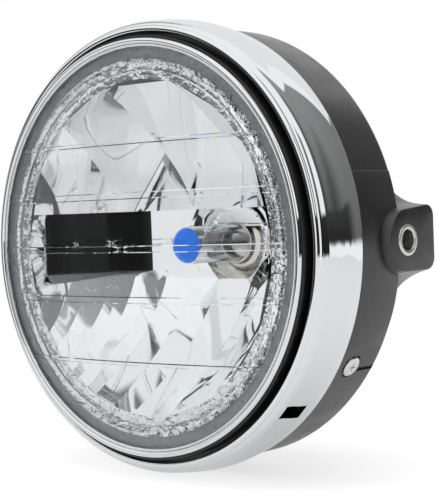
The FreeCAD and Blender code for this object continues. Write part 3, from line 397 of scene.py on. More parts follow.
for side in (1, -1):
    ear = bmesh.new()
    corners = [ear.verts.new((side * EAR_FACE * MM, y * MM, z * MM)) for y, z in ear_outline]
    for start, end in zip(corners, corners[1:] + corners[:1]):
        ear.edges.new((start, end))
    for corner in corners[-2:]:
        bmesh.ops.bevel(
            ear, geom=[corner], offset=EAR_CORNER * MM, segments=8, profile=0.5,
            affect="VERTICES", material=-1,
        )
    face_ring = ear.edges[:]
    bore_turn = Matrix.Rotation(math.pi / 2, 3, "Y")
    bore_ring = circle_in(ear, BUSH_SPIN, BUSH_RADIUS, bore_turn, (side * EAR_FACE * MM, 0, 0))[1]
    bmesh.ops.bridge_loops(ear, edges=face_ring + bore_ring)
    bore_foot = grown_points(bmesh.ops.extrude_edge_only(ear, edges=bore_ring))
    bmesh.ops.translate(ear, verts=bore_foot, vec=(side * (BUSH_FACE - BUSH_LENGTH - EAR_FACE) * MM, 0, 0))
    ring = face_ring
    grown_to = (0.0, 1.0, 1.0, 1.0)
    for depth in EAR_LEVELS:
        sloped = min(depth, EAR_FLARE_DEPTH)
        swell = EAR_FLARE_SWELL * (sloped / EAR_FLARE_DEPTH) ** 3
        rise = 1 + (EAR_DRAFT * sloped + swell) / EAR_HALF_HEIGHT
        drop = 1 + (EAR_LOW_DRAFT * sloped + swell) / EAR_HALF_HEIGHT
        length = 1 + EAR_FRONT_DRAFT * min(depth, EAR_FRONT_DEPTH) / ear_length
        grown = bmesh.ops.extrude_edge_only(ear, edges=ring)
        moved = grown_points(grown)
        new_edges = [item for item in grown["geom"] if isinstance(item, bmesh.types.BMEdge)]
        ring = [edge for edge in new_edges if all(point in moved for point in edge.verts)]
        last_depth, last_rise, last_drop, last_length = grown_to
        for point in moved:
            point.co.x -= side * (depth - last_depth) * MM
            point.co.y = EAR_REAR * MM + (point.co.y - EAR_REAR * MM) * length / last_length
            point.co.z *= rise / last_rise if point.co.z > 0 else drop / last_drop
        grown_to = (depth, rise, drop, length)
    bmesh.ops.recalc_face_normals(ear, faces=ear.faces)
    bmesh.ops.bevel(
        ear, geom=face_ring, offset=EAR_EDGE * MM, segments=3, profile=0.5, affect="EDGES", material=-1,
    )
    taken_in(case, ear)


def crisp(shape):
    """Shade a mesh smooth, with a crease at each edge that turns sharply."""
    for face in shape.faces:
        face.smooth = True
    for edge in shape.edges:
        edge.smooth = edge.calc_face_angle(0) < SHARP_ANGLE


def fitted(name, shape, finishes, slot, *stands_for):
    """Make the finished piece from its mesh, and fix it to the lamp."""
    mesh = bpy.data.meshes.new(name)
    shape.to_mesh(mesh)
    shape.free()
    piece = bpy.data.objects.new(name, mesh)
    bpy.context.scene.collection.objects.link(piece)
    for coat in finishes:
        mesh.materials.append(coat)
    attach(piece, "root")
    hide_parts(*stands_for)


crisp(case)
fitted("case", case, [black_plastic], "case_plastic", "bucket")

# Ear bushes: short sleeves of plated steel for the bracket's bolts. They are turned, with broken edges, and
# pressed into the ears until they stand a little proud.
BUSH_BORE = 4.25
plated_steel = finish(
    "plated_steel", [(0.74, 0.74, 0.73), (0.82, 0.82, 0.81)], (0.18, 0.30), (700.0, 0.08), metallic=1.0,
)
for side, side_name in ((1, "right"), (-1, "left")):
    bush_section = [
        (BUSH_FACE, BUSH_BORE, 0.5), (BUSH_FACE, BUSH_RADIUS, 0.4),
        (BUSH_FACE - BUSH_LENGTH, BUSH_RADIUS, 0.4), (BUSH_FACE - BUSH_LENGTH, BUSH_BORE, 0.4),
    ]
    bush = turned(bush_section, BUSH_SPIN, centre=Vector(), axis=Vector((side, 0, 0)))
    crisp(bush)
    fitted(f"bush_{side_name}", bush, [plated_steel], "plated_steel", f"ear_bush_{side_name}")

# Chrome rim: a ring spun from sheet and plated, with a bulged band, a rolled shoulder, a bead and a lip in
# front and a hem over the case's spigot. A window is lanced on each side, its tongue bent back and inwards.
RIM_SPIN = 240
RIM_SHEET = 1.2
WINDOW_ANGLE = 43.5
WINDOW_FRONT = -22.0
WINDOW_BACK = -9.5
WINDOW_WIDTH = 7.0
TONGUE_RUN = (3.6, -2.0)
TONGUE_ROOT = -23.0
BAND_RADIUS = 95.0
BAND_INSIDE = 92.5
bright_chrome = finish(
    "bright_chrome", [(0.80, 0.81, 0.82), (0.84, 0.85, 0.86)], (0.02, 0.05), (40.0, 0.02), metallic=1.0,
)
rim_section = [(-4.0, 93.8), (0.0, 93.8, 0.5), (0.0, 95.0, 0.6)]
rim_section += bowed((-1.5, 95.1), (-17.5, 95.0), 0.9, 12)
rim_section += [(-23.9, 94.6, 4.4), (-24.3, 92.6, 0.2)]
rim_section += [(-25.6, 92.3, 0.9), (-25.6, 89.8, 0.9), (-21.8, 89.8)]
rim = turned(rim_section, RIM_SPIN, closed=False)
for side in (1, -1):
    outward, upward = round_frame(WINDOW_ANGLE, side)
    window_middle = lamp_point((WINDOW_FRONT + WINDOW_BACK) / 2, 0) + outward * BAND_RADIUS * MM
    window_half = (WINDOW_BACK - WINDOW_FRONT) / 2
    window_planes = sides(window_middle, (upward, WINDOW_WIDTH / 2), (ALONG, window_half))
    window_planes.append((outward * BAND_INSIDE * MM, -outward))
    near = [face for face in rim.faces if face.calc_center_median().normalized().dot(outward) > 0.9]
    bmesh.ops.delete(rim, geom=cut_out(rim, near, window_planes), context="FACES")
    root_start = lamp_point(TONGUE_ROOT, 0).y
    root_end = lamp_point(WINDOW_FRONT, 0).y + 1e-6
    root = []
    for edge in open_rings(rim):
        by_window = all(abs(end.co.dot(upward)) < WINDOW_WIDTH * MM for end in edge.verts)
        on_band = all(end.co.dot(outward) > BAND_INSIDE * MM for end in edge.verts)
        if by_window and on_band and all(root_start < end.co.y < root_end for end in edge.verts):
            root.append(edge)
    tip = grown_points(bmesh.ops.extrude_edge_only(rim, edges=root))
    bmesh.ops.translate(rim, verts=tip, vec=(outward * TONGUE_RUN[1] + ALONG * TONGUE_RUN[0]) * MM)
bmesh.ops.recalc_face_normals(rim, faces=rim.faces)
outside = [face for face in rim.faces if face.calc_center_median().x > (BAND_RADIUS + 0.5) * MM]
if outside[0].normal.x < 0:
    bmesh.ops.reverse_faces(rim, faces=rim.faces)
bmesh.ops.solidify(rim, geom=rim.faces[:], thickness=RIM_SHEET * MM)
crisp(rim)
fitted("rim", rim, [bright_chrome], "chrome", "chrome_rim")

# Bezel ring: a narrow ring of plated sheet, rolled into two beads, that covers the lens's edge. Its skirt
# and its flange hold the lens and the reflector in the rim.
bezel_section = [
    (-28.1, 83.4, 0.2), (-29.2, 83.7, 0.4), (-29.2, 84.5, 0.4), (-28.5, 84.7), (-29.9, 85.2, 0.7),
    (-29.9, 86.8, 0.7), (-28.5, 87.3, 0.4), (-20.6, 87.3, 0.3), (-20.6, 90.8, 0.2), (-19.7, 90.8, 0.2),
    (-19.7, 86.4), (-28.1, 86.4),
]
bezel = turned(bezel_section, RIM_SPIN)
crisp(bezel)
fitted("bezel", bezel, [bright_chrome], "chrome", "bezel_ring")

# Rim seal: a moulded ring of black rubber, L-shaped in section, that keeps water out. It is stretched over
# the bezel's skirt and held under the rim's lip.
black_rubber = finish(
    "black_rubber", [(0.004, 0.004, 0.004), (0.010, 0.010, 0.010)], (0.22, 0.42), (600.0, 0.2),
)
seal_section = [
    (-28.3, 87.4, 0.15), (-28.3, 88.1, 0.3), (-21.7, 88.1),
    (-21.7, 90.8, 0.2), (-20.7, 90.8, 0.2), (-20.7, 87.4),
]
seal = turned(seal_section, RIM_SPIN)
crisp(seal)
fitted("seal", seal, [black_rubber], "black_rubber", "rim_seal")

# Lens: a clear moulded dome with a flat flange. Level ridges stand on its outer face, and the moulding's
# gate has left a small ring at the crown.
LENS_CLEAR = 76.6
LENS_EDGE = -30.0
LENS_CROWN = -38.0
LENS_WALL = 3.0
LENS_SPIN = 192
RIDGE_RISE = 0.6
RIDGE_SIDE = 0.35
RIDGE_REACH = 83.5
RIDGES = ((44.0, 1.1), (22.0, 2.2), (0.0, 2.2), (-21.0, 2.2), (-47.5, 1.1))
GATE_RING = 1.6
LENS_SKIRT = 76.7


def dome(crown, edge, edge_out, first_out, steps):
    """Points of a ball-shaped dome from near its crown out to its edge."""
    rise = edge - crown
    ball = (edge_out ** 2 + rise ** 2) / (2 * rise)
    points = []
    for step in range(steps + 1):
        out = first_out + (edge_out - first_out) * step / steps
        points.append((crown + ball - math.sqrt(ball ** 2 - out ** 2), out))
    return points


lens_section = [(LENS_CROWN - 0.7, 0.0), (LENS_CROWN - 0.7, 0.8)]
lens_section += [(LENS_CROWN - 0.9, 1.0), (LENS_CROWN - 0.9, 1.3)]
lens_section += dome(LENS_CROWN, LENS_EDGE, LENS_CLEAR, GATE_RING, 24)
lens_section += [(-27.9, 78.7), (-27.9, 85.0, 0.3), (-25.5, 85.0, 0.2), (-25.5, 73.8)]
lens_section += reversed(dome(LENS_CROWN + LENS_WALL, LENS_EDGE + 2.7, LENS_CLEAR - LENS_WALL, 0.0, 16))
lens = turned(lens_section, LENS_SPIN, closed=False)
front = [face for face in lens.faces if face.normal.y < -0.3]
front = [face for face in front if face.calc_center_median().xz.length > GATE_RING * MM]
for height, width in RIDGES:
    offsets = (-width / 2 - RIDGE_SIDE, -width / 2, width / 2, width / 2 + RIDGE_SIDE)
    front = sliced(lens, front, [(UP * (height + offset) * MM, UP) for offset in offsets])
front_points = {vert for face in front for vert in face.verts}
for height, width in RIDGES:
    raised = []
    for point in front_points:
        on_ridge = abs(point.co.z - height * MM) < width / 2 * MM + 1e-6
        if on_ridge and GATE_RING * MM * 1.05 < point.co.xz.length < RIDGE_REACH * MM:
            raised.append(point)
    bmesh.ops.translate(lens, verts=raised, vec=(0, -RIDGE_RISE * MM, 0))
crisp(lens)
for face in lens.faces:
    out = face.calc_center_median().xz.length / MM
    behind_skirt = out > LENS_CLEAR - LENS_WALL and face.normal.y > 0.3
    face.material_index = int(out > LENS_SKIRT or behind_skirt)


def clear_moulding(name, tint, refraction, rough, haze_scale):
    """A clear material with the faint haze of a handled surface."""
    material = bpy.data.materials.new(name)
    material.use_nodes = True
    tree = material.node_tree
    shader = tree.nodes["Principled BSDF"]
    shader.inputs["Base Color"].default_value = (*tint, 1)
    shader.inputs["Transmission Weight"].default_value = 1.0
    shader.inputs["IOR"].default_value = refraction
    haze = tree.nodes.new("ShaderNodeGroup")
    haze.node_tree = handled_gloss
    haze.inputs["Scale"].default_value = haze_scale
    haze.inputs["Smooth"].default_value = 0.0
    haze.inputs["Rough"].default_value = rough
    tree.links.new(haze.outputs["Roughness"], shader.inputs["Roughness"])
    return material


clear_lens = clear_moulding("clear_lens", (0.97, 0.985, 0.99), 1.49, 0.012, 40.0)
# The flange is left as the mould pressed it, uneven enough to break up what lies behind it.
FLANGE_WAVES = 240.0
FLANGE_WAVE_STRENGTH = 0.7
FLANGE_WAVE_DEPTH = 1.2
pressed_flange = clear_moulding("pressed_flange", (0.95, 0.97, 0.98), 1.49, 0.02, 60.0)
flange_tree = pressed_flange.node_tree
flange_waves = flange_tree.nodes.new("ShaderNodeGroup")
flange_waves.node_tree = moulded_grain
flange_waves.inputs["Scale"].default_value = FLANGE_WAVES
flange_bump = flange_tree.nodes.new("ShaderNodeBump")
flange_bump.inputs["Strength"].default_value = FLANGE_WAVE_STRENGTH
flange_bump.inputs["Distance"].default_value = FLANGE_WAVE_DEPTH * MM
flange_tree.links.new(flange_waves.outputs["Height"], flange_bump.inputs["Height"])
flange_tree.links.new(flange_bump.outputs["Normal"], flange_tree.nodes["Principled BSDF"].inputs["Normal"])
fitted("lens_moulding", lens, [clear_lens, pressed_flange], "clear_lens", "lens")

# Sealant: the grey bead that bonds the lens's flange to the reflector's plate. It is laid as a paste,
# pressed flat by the lens, and sets like rubber.
grey_sealant = finish("grey_sealant", [(0.36, 0.36, 0.37), (0.50, 0.50, 0.51)], (0.4, 0.6), (300.0, 0.3))


def dressed(finish_material, *names):
    """Give solids that show as they are their finish."""
    for name in names:
        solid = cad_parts[name]
        solid.data.materials.clear()
        solid.data.materials.append(finish_material)


dressed(grey_sealant, "lens_sealant")

# Reflector: a moulded dish, metallised inside. Its facets meet in upright planes, broad above and narrower
# below, where they are also fluted, and a level trough is sunk across the middle for the bulb.
DISH_RADIUS = 71.0
DISH_FRONT = -24.6
DISH_FOCUS = 20.2
NECK_RADIUS = 19.0
DISH_RINGS = 24
UPPER_FACET_EDGES = (0.87, 0.65, 0.28, -0.28, -0.65, -0.87)
LOWER_FACET_EDGES = (0.85, 0.7, 0.6, 0.45, 0.14, -0.14, -0.45, -0.6, -0.7, -0.85)
INNER_EDGE_LIMIT = 0.9
OUTER_EDGE_LIMIT = 0.99
FLUTE_END = 0.68
FLUTE_DEPTH = 1.0
TROUGH_REACH = 67.5
TROUGH_TOP = 15.5
TROUGH_END_DROP = 16.5
TROUGH_BULB_DROP = 6.0
TROUGH_SINK = 0.6
TROUGH_FOLDS = (TROUGH_REACH, 51.8, 38.3, NECK_RADIUS)
TROUGH_TILT = 0.115
TROUGH_TILTED = 20.0
SHELL_STEPS = 12
SHELL_WALL = 2.0
SHELL_NECK = 21.6
SHELL_EDGE = 75.0


def dish_back(out):
    """How far behind the joint the dish's wall lies at a distance out from the axis."""
    return (DISH_RADIUS ** 2 - out ** 2) / (4 * DISH_FOCUS) + DISH_FRONT


def facet_corner(share, out, way):
    """Where a facet's upright edge plane meets a ring of the dish, above or below."""
    widest = INNER_EDGE_LIMIT + (OUTER_EDGE_LIMIT - INNER_EDGE_LIMIT) * abs(share)
    across = math.copysign(min(abs(share) * DISH_RADIUS / out, widest), share)
    return Vector((out * across, dish_back(out) - EAR_SETBACK, way * out * math.sqrt(1 - across ** 2))) * MM


def facet_ring(out):
    """One ring of the dish: chords all round, the lower ones folded out half way along."""
    level = lamp_point(dish_back(out), 0)
    points = [level + Vector((out * MM, 0, 0))]
    points += [facet_corner(share, out, 1) for share in UPPER_FACET_EDGES]
    points.append(level - Vector((out * MM, 0, 0)))
    lower = [facet_corner(share, out, -1) for share in reversed(LOWER_FACET_EDGES)]
    fold = FLUTE_DEPTH * max(0, (out / DISH_RADIUS - FLUTE_END) / (1 - FLUTE_END))
    for start, end in zip(lower, lower[1:]):
        middle = (start + end) / 2
        points += [start, middle + (middle - level).normalized() * fold * MM]
    return points + [lower[-1]]


dish = bmesh.new()
facet_edges = []
last_ring = []
for step in range(DISH_RINGS + 1):
    out = DISH_RADIUS + (NECK_RADIUS - DISH_RADIUS) * step / DISH_RINGS
    ring = [dish.verts.new(point) for point in facet_ring(out)]
    if last_ring:
        for index, point in enumerate(ring):
            dish.faces.new((last_ring[index - 1], last_ring[index], point, ring[index - 1]))
            facet_edges.append(dish.edges.get((last_ring[index], point)))
    last_ring = ring
trough_slope = (TROUGH_END_DROP - TROUGH_BULB_DROP) / TROUGH_REACH
bulb_foot = UP * -TROUGH_BULB_DROP * MM
trough_planes = sides(Vector(), (Vector((1, 0, 0)), TROUGH_REACH))
trough_planes.append((UP * TROUGH_TOP * MM, UP))
trough_planes += [(bulb_foot, Vector((way * trough_slope, 0, -1))) for way in (1, -1)]
for fold in TROUGH_FOLDS[1:]:
    trough_planes += sides(Vector(), (Vector((1, 0, 0)), fold))
pieces = sliced(dish, dish.faces[:], trough_planes)
sunk = []
for face in pieces:
    middle = face.calc_center_median()
    floor_drop = TROUGH_BULB_DROP * MM + trough_slope * abs(middle.x)
    if abs(middle.x) < TROUGH_REACH * MM and -floor_drop < middle.z < TROUGH_TOP * MM:
        sunk.append(face)
deepened = sunken(dish, sunk)
for point in deepened:
    across = min(max(abs(point.co.x) / MM, TROUGH_FOLDS[-1]), TROUGH_FOLDS[0])
    outer, inner = next(pair for pair in zip(TROUGH_FOLDS, TROUGH_FOLDS[1:]) if across >= pair[1])
    share = (outer - across) / (outer - inner)
    tilt = TROUGH_TILT * abs(point.co.z) / MM if abs(point.co.x) < TROUGH_TILTED * MM else 0
    back = dish_back(outer) * (1 - share) + dish_back(inner) * share + TROUGH_SINK + tilt
    point.co.y = lamp_point(back, 0).y
bmesh.ops.recalc_face_normals(dish, faces=dish.faces)
crisp(dish)
for edge in facet_edges:
    if edge.is_valid:
        edge.smooth = False
for point in deepened:
    for edge in point.link_edges:
        if any(all(abs(abs(end.co.x) - fold * MM) < 1e-6 for end in edge.verts) for fold in TROUGH_FOLDS):
            edge.smooth = False
dish_rim = [
    (DISH_FRONT, DISH_RADIUS - 0.9), (DISH_FRONT, 85.1), (-27.3, 85.1), (-27.3, 86.3), (-19.6, 86.3),
    (-19.6, 90.8), (-18.1, 90.8), (-18.1, 85.1), (-22.6, 85.1), (-22.6, SHELL_EDGE),
]
dish_shell = []
for step in range(SHELL_STEPS, -1, -1):
    dish_out = NECK_RADIUS + (DISH_RADIUS - NECK_RADIUS) * step / SHELL_STEPS
    shell_out = SHELL_NECK + (SHELL_EDGE - SHELL_NECK) * step / SHELL_STEPS
    dish_shell.append((dish_back(dish_out) + SHELL_WALL, shell_out))
dish_neck = [(41.9, SHELL_NECK), (41.9, 18.0), (33.0, 18.0), (33.3, NECK_RADIUS)]
plate = turned(dish_rim + dish_shell + dish_neck, RIM_SPIN, closed=False)
crisp(plate)
for face in plate.faces:
    face.material_index = 1
taken_in(dish, plate)
mirror_coat = finish(
    "mirror_coat", [(0.92, 0.925, 0.93), (0.94, 0.945, 0.95)], (0.02, 0.05), (25.0, 0.03), metallic=1.0,
)
crinkled_mirror = finish(
    "crinkled_mirror", [(0.78, 0.78, 0.78), (0.88, 0.885, 0.89)], (0.12, 0.24), (170.0, 1.0),
    metallic=1.0, grain_depth=1.2,
)
fitted("mirror_dish", dish, [mirror_coat, crinkled_mirror], "reflector_mirror", "reflector")

# Bulb collar: the bulb's base, pressed from sheet metal in steps round the foot of the glass. Its flange
# seats on the reflector's neck.
collar_section = [
    (35.2, 0.0), (37.4, 8.2), (34.4, 8.2), (34.4, 9.4, 0.4), (37.4, 9.4, 0.6),
    (38.0, 11.5, 0.5), (40.7, 13.7, 0.6), (41.9, 13.7),
    (41.9, 21.4), (43.1, 21.4), (43.1, 12.5), (50.1, 12.5, 0.6), (50.1, 0.0),
]
collar = turned(collar_section, 96, closed=False)
crisp(collar)
bulb_metal = finish(
    "bulb_metal", [(0.80, 0.76, 0.71), (0.88, 0.85, 0.80)], (0.20, 0.34), (500.0, 0.06), metallic=1.0,
)
fitted("bulb_base", collar, [bulb_metal], "bulb_metal", "bulb_collar")

# Bulb glass: a clear glass tube, drawn to a dome at the front and sealed into the collar behind. Its tip is
# dipped in blue paint.
GLASS_RADIUS = 8.1
GLASS_WALL = 0.9
GLASS_TIP = -1.0
GLASS_BACK = 37.4
DIP_BACK = 2.6
glass_section = [
    (GLASS_TIP, 0.0), (GLASS_TIP, GLASS_RADIUS, 5.5), (GLASS_BACK, GLASS_RADIUS),
    (GLASS_BACK, GLASS_RADIUS - GLASS_WALL), (GLASS_TIP + GLASS_WALL, GLASS_RADIUS - GLASS_WALL, 5.0),
    (GLASS_TIP + GLASS_WALL, 0.0),
]
glass = turned(glass_section, 96, closed=False)
bmesh.ops.bisect_plane(
    glass, geom=glass.verts[:] + glass.edges[:] + glass.faces[:], plane_co=lamp_point(DIP_BACK, 0),
    plane_no=(0, 1, 0), dist=1e-7,
)
bmesh.ops.recalc_face_normals(glass, faces=glass.faces)
crisp(glass)
for face in glass.faces:
    face.material_index = int(face.calc_center_median().y < lamp_point(DIP_BACK, 0).y)
clear_glass = clear_moulding("clear_glass", (0.96, 0.98, 1.0), 1.47, 0.03, 120.0)


def tree_math(tree, operation, first, second=None):
    """One sum among a tree's nodes; a number is set on its socket, anything else is linked."""
    node = tree.nodes.new("ShaderNodeMath")
    node.operation = operation
    for socket, value in zip(node.inputs, (first, second)):
        if isinstance(value, (int, float)):
            socket.default_value = value
        elif value is not None:
            tree.links.new(value, socket)
    return node.outputs[0]


# Painted light on the blue paint: seen straight through the lens it has a painted glow, though it is no
# lamp, and what the mirror catches of it is painted pale grey, a painted reflection.
blue_dip = finish("blue_dip", [(0.020, 0.17, 0.80), (0.030, 0.20, 0.88)], (0.22, 0.34), (500.0, 0.05))
dip_tree = blue_dip.node_tree
dip_shader = dip_tree.nodes["Principled BSDF"]
dip_path = dip_tree.nodes.new("ShaderNodeLightPath")
dip_tone = dip_shader.inputs["Base Color"].links[0].from_socket
dip_painted_reflection_mix = dip_tree.nodes.new("ShaderNodeMix")
dip_painted_reflection_mix.data_type = "RGBA"
# Rays past the second bounce, the ones the mirror sends, get a pale grey in place of the blue: a painted
# reflection.
dip_mirrored = tree_math(dip_tree, "GREATER_THAN", dip_path.outputs["Ray Depth"], 2.5)
dip_tree.links.new(dip_mirrored, dip_painted_reflection_mix.inputs[0])
dip_tree.links.new(dip_tone, dip_painted_reflection_mix.inputs[MIX_FIRST])
dip_painted_reflection_mix.inputs[MIX_SECOND].default_value = (0.62, 0.66, 0.72, 1)
dip_tree.links.new(dip_painted_reflection_mix.outputs[MIX_RESULT], dip_shader.inputs["Base Color"])
# Painted glow: an emission on the paint for the rays that see it straight, though the paint is no lamp.
dip_straight = tree_math(dip_tree, "SUBTRACT", 1.0, dip_mirrored)
dip_painted_glow = tree_math(dip_tree, "MULTIPLY", dip_straight, 0.45)
dip_shader.inputs["Emission Color"].default_value = (0.03, 0.19, 0.80, 1)
dip_tree.links.new(dip_painted_glow, dip_shader.inputs["Emission Strength"])
fitted("bulb_envelope", glass, [clear_glass, blue_dip], "blue_glass", "bulb_glass")

# Filaments and what carries them: two coils of bare wire on their leads, and the half cup of sheet metal
# under the dipped one, all sealed inside the glass.
bare_wire = finish(
    "bare_wire", [(0.28, 0.27, 0.26), (0.40, 0.39, 0.38)], (0.3, 0.45), (900.0, 0.2), metallic=1.0,
)
dressed(bare_wire, "low_beam_filament", "high_beam_filament", "filament_supports")
dressed(bulb_metal, "beam_shield")

# Rear of the bulb: the pale moulded insulator, three brass blades, the ring that holds the flange, and the
# rubber boot that keeps dust out.
pale_insulator = finish(
    "pale_insulator", [(0.50, 0.46, 0.38), (0.58, 0.54, 0.46)], (0.5, 0.65), (700.0, 0.25),
)
bright_brass = finish(
    "bright_brass", [(0.70, 0.50, 0.20), (0.78, 0.60, 0.28)], (0.2, 0.35), (500.0, 0.1), metallic=1.0,
)
dressed(pale_insulator, "bulb_insulator")
dressed(bright_brass, "bulb_contacts")
dressed(plated_steel, "bulb_retainer")
dressed(black_rubber, "dust_boot")

# Cable grommet: a moulded spool of black rubber, snapped into the hole in the case's back. The edge of the
# hole sits in its groove.
grommet_section = [
    (67.2, 9.0, 0.4), (67.2, 15.9, 0.6), (69.4, 17.0, 0.4), (69.4, 13.9), (72.1, 13.9), (72.1, 17.0, 0.4),
    (74.3, 15.9, 0.8), (74.3, 9.0, 0.6),
]
grommet = turned(grommet_section, 96)
bmesh.ops.translate(grommet, verts=grommet.verts[:], vec=(0, 0, -CABLE_DROP * MM))
crisp(grommet)
fitted("grommet", grommet, [black_rubber], "black_rubber", "cable_grommet")

# Rim fastening: a steel lug inside the rim on each side with a square nut under it, a washer in the case's
# recess, and a low pan-head screw with a cross recess.
HEAD_RADIUS = 4.5
HEAD_SEAT = 92.7
HEAD_HEIGHT = 1.5
HEAD_FLAT = 3.4
SHANK_RADIUS = 2.5
SHANK_END = 80.7
CROSS_REACH = 1.8
CROSS_WIDTH = 0.7
CROSS_DEPTH = 0.5
dressed(plated_steel, "rim_lugs", "lug_nuts", "screw_washers")
screws = bmesh.new()
for side in (1, -1):
    outward, upward = round_frame(SCREW_ANGLE, side)
    top = HEAD_SEAT + HEAD_HEIGHT
    screw_section = [
        (top, 0.0), (top, HEAD_FLAT), (top - 0.15, HEAD_FLAT + 0.6), (top - 0.5, HEAD_RADIUS - 0.1),
        (HEAD_SEAT + 0.5, HEAD_RADIUS, 0.2), (HEAD_SEAT, HEAD_RADIUS, 0.15), (HEAD_SEAT, SHANK_RADIUS, 0.2),
        (SHANK_END, SHANK_RADIUS, 0.5), (SHANK_END, 0.0),
    ]
    screw_foot = lamp_point(SCREW_BACK, 0)
    screw = turned(screw_section, 64, closed=False, centre=screw_foot, axis=outward)
    head = [face for face in screw.faces if face.normal.dot(outward) > 0.99]
    cross_planes = []
    for way in (upward, ALONG):
        cross_planes += sides(screw_foot, (way, CROSS_REACH), (way, CROSS_WIDTH / 2))
    cross = []
    for face in sliced(screw, head, cross_planes):
        away = face.calc_center_median() - screw_foot
        for long, wide in ((upward, ALONG), (ALONG, upward)):
            if abs(away.dot(long)) < CROSS_REACH * MM and abs(away.dot(wide)) < CROSS_WIDTH / 2 * MM:
                cross.append(face)
                break
    bmesh.ops.translate(screw, verts=sunken(screw, cross), vec=-outward * CROSS_DEPTH * MM)
    bmesh.ops.recalc_face_normals(screw, faces=screw.faces)
    taken_in(screws, screw)
crisp(screws)
fitted("screws", screws, [plated_steel], "plated_steel", "rim_screws")

# Studio: a pale floor, a soft light overhead, a white backdrop all round and the dark side of the room
# where the camera stands.
FLOOR_LEVEL = -0.0966
FLOOR_REACH = 0.8
FLOOR_SHOWN = 0.7
FLOOR_MIRRORED = 0.45
floor_shape = bmesh.new()
bmesh.ops.create_grid(floor_shape, x_segments=4, y_segments=4, size=FLOOR_REACH)
bmesh.ops.translate(floor_shape, verts=floor_shape.verts[:], vec=(0, 0, FLOOR_LEVEL))
floor_mesh = bpy.data.meshes.new("floor")
floor_shape.to_mesh(floor_mesh)
floor_shape.free()
floor = bpy.data.objects.new("floor", floor_mesh)
bpy.context.scene.collection.objects.link(floor)
pale_floor = bpy.data.materials.new("pale_floor")
pale_floor.use_nodes = True
floor_tree = pale_floor.node_tree
floor_shader = floor_tree.nodes["Principled BSDF"]
floor_shader.inputs["Base Color"].default_value = (0.36, 0.36, 0.36, 1)
floor_shader.inputs["Roughness"].default_value = 0.9
floor_shader.inputs["Emission Color"].default_value = (1, 1, 1, 1)
floor_path = floor_tree.nodes.new("ShaderNodeLightPath")
floor_seen = tree_math(floor_tree, "MULTIPLY", floor_path.outputs["Is Camera Ray"], FLOOR_SHOWN)
floor_mirrored = tree_math(
    floor_tree, "MAXIMUM", floor_path.outputs["Is Glossy Ray"], floor_path.outputs["Is Transmission Ray"],
)
floor_reflected = tree_math(floor_tree, "MULTIPLY", floor_mirrored, FLOOR_MIRRORED)
floor_lift = tree_math(floor_tree, "ADD", floor_seen, floor_reflected)
floor_tree.links.new(floor_lift, floor_shader.inputs["Emission Strength"])
floor_mesh.materials.append(pale_floor)

# Each wall of the room as mirrors see it: its two ends, each a bearing round from the front towards the
# right and how softly the wall ends there, how far its second end leans, its foot's and top's heights, all
# in degrees, and its greys at foot and top.
WALLS = (
    ((-181.0, 1.5), (-125.0, 1.5), 0.0, (-2.0, 62.0), (0.84, 0.90)),
    ((-125.0, 1.5), (-88.0, 1.5), 0.0, (-20.0, 60.0), (0.40, 0.50)),
    ((-70.0, 3.0), (-14.0, 3.0), 0.0, (-9.0, 9.0), (0.03, 0.04)),
    ((112.0, 1.5), (194.0, 1.5), 0.6, (-1.0, 76.0), (0.14, 0.38)),
    ((112.0, 1.5), (132.0, 14.0), 0.0, (-1.0, 62.0), (0.04, 0.14)),
    ((40.0, 1.5), (74.0, 3.0), 0.0, (9.0, 44.0), (0.08, 0.20)),
    ((40.0, 1.5), (64.0, 1.5), 0.0, (-7.0, 11.0), (0.003, 0.006)),
    ((62.0, 1.5), (118.0, 1.5), 0.0, (-6.0, 11.0), (0.012, 0.03)),
    ((112.0, 1.5), (150.0, 10.0), 0.0, (-1.0, 11.0), (0.02, 0.05)),
)
WALL_SOFTNESS = 1.5
ROOM_UNEVEN = 4.0
ROOM_LIGHT = 0.75
world = bpy.data.worlds.new("studio")
bpy.context.scene.world = world
world.use_nodes = True
room = world.node_tree
backdrop = room.nodes["Background"]
look = room.nodes.new("ShaderNodeTexCoord")
split = room.nodes.new("ShaderNodeSeparateXYZ")
room.links.new(look.outputs["Generated"], split.inputs[0])


def room_step(low_end, high_end):
    """One between two ends of (value, limit, softness), and nothing outside them."""
    masks = []
    for (value, limit, soft), sign in ((low_end, 1), (high_end, -1)):
        ramp = room.nodes.new("ShaderNodeMapRange")
        ramp.interpolation_type = "SMOOTHSTEP"
        room.links.new(value, ramp.inputs["Value"])
        ramp.inputs["From Min"].default_value = limit - sign * soft
        ramp.inputs["From Max"].default_value = limit + sign * soft
        masks.append(ramp.outputs["Result"])
    return tree_math(room, "MULTIPLY", *masks)


def room_mix(share, first, second):
    """Grey levels mixed by a share."""
    node = room.nodes.new("ShaderNodeMix")
    for socket, value in zip(node.inputs[:4], (share, None, first, second)):
        if isinstance(value, (int, float)):
            socket.default_value = value
        elif value is not None:
            room.links.new(value, socket)
    return node.outputs[0]


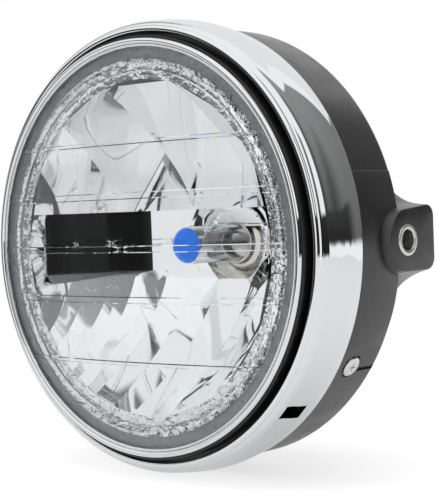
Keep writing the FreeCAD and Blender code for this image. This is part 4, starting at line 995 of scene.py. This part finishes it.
straight_up = tree_math(room, "MULTIPLY", tree_math(room, "ARCSINE", split.outputs["Z"]), 180 / math.pi)
uneven = room.nodes.new("ShaderNodeTexNoise")
uneven.inputs["Scale"].default_value = 7.0
uneven.inputs["Detail"].default_value = 1.0
room.links.new(look.outputs["Generated"], uneven.inputs["Vector"])
unevenness = tree_math(room, "SUBTRACT", uneven.outputs["Fac"], 0.5)
elevation = tree_math(room, "ADD", straight_up, tree_math(room, "MULTIPLY", unevenness, ROOM_UNEVEN))
front_back = tree_math(room, "MULTIPLY", split.outputs["Y"], -1.0)
bearing = tree_math(room, "ARCTAN2", split.outputs["X"], front_back)
azimuth = tree_math(room, "MULTIPLY", bearing, 180 / math.pi)
seen_room = 1.0
for low_end, high_end, lean, (foot, top), (foot_grey, top_grey) in WALLS:
    leaning = tree_math(room, "ADD", azimuth, tree_math(room, "MULTIPLY", straight_up, lean))
    across = room_step((azimuth, *low_end), (leaning, *high_end))
    upright = room_step((elevation, foot, WALL_SOFTNESS), (elevation, top, WALL_SOFTNESS))
    shade = room.nodes.new("ShaderNodeMapRange")
    room.links.new(elevation, shade.inputs["Value"])
    shade.inputs["From Min"].default_value = foot
    shade.inputs["From Max"].default_value = top
    shade.inputs["To Min"].default_value = foot_grey
    shade.inputs["To Max"].default_value = top_grey
    wall = tree_math(room, "MULTIPLY", across, upright)
    seen_room = room_mix(wall, seen_room, shade.outputs["Result"])
light_path = room.nodes.new("ShaderNodeLightPath")
mirrored = tree_math(
    room, "MAXIMUM", light_path.outputs["Is Glossy Ray"], light_path.outputs["Is Transmission Ray"],
)
lit_room = room_mix(mirrored, ROOM_LIGHT, seen_room)
shown_room = room_mix(light_path.outputs["Is Camera Ray"], lit_room, 1.0)
room.links.new(shown_room, backdrop.inputs["Color"])

# The two soft lights: name, place, width in metres and watts.
SOFT_LIGHTS = (
    ("overhead", (0.1, -0.1, 1.3), 1.2, 9.0),
    ("left_front", (-1.1, -0.9, 0.7), 0.8, 5.0),
)
for light_name, place, width, watts in SOFT_LIGHTS:
    lamp = bpy.data.lights.new(light_name, "AREA")
    lamp.size = width
    lamp.energy = watts
    light = bpy.data.objects.new(light_name, lamp)
    bpy.context.scene.collection.objects.link(light)
    light.location = place
    light.rotation_euler = (-Vector(place)).to_track_quat("-Z", "Y").to_euler()
    light.visible_glossy = False
    light.visible_transmission = False

# Camera: a long lens a little above the lamp's axis and well round to its right, level but for a slight
# roll. Its place and directions are in the lamp's own frame, its focal length in pixels of the picture.
IMAGE_HALF_HEIGHT = 247.5
FOCAL_PIXELS = 1438.292
camera_right = Vector((0.74396, 0.66717, -0.03745))
camera_up = Vector((0.01069, 0.04415, 0.99897))
camera_back = Vector((0.66814, -0.74359, 0.02571))
camera_place = Vector((0.42485, -0.47705, 0.01459))
camera_data = bpy.data.cameras.new("camera")
camera_data.sensor_fit = "VERTICAL"
camera_data.angle_y = 2 * math.atan(IMAGE_HALF_HEIGHT / FOCAL_PIXELS)
camera_data.clip_start = 0.01
camera = bpy.data.objects.new("camera", camera_data)
bpy.context.scene.collection.objects.link(camera)
turn = Matrix((camera_right, camera_up, camera_back)).transposed().to_4x4()
camera.matrix_world = Matrix.Translation(camera_place) @ turn
bpy.context.scene.camera = camera
bpy.context.scene.view_settings.view_transform = "Standard"
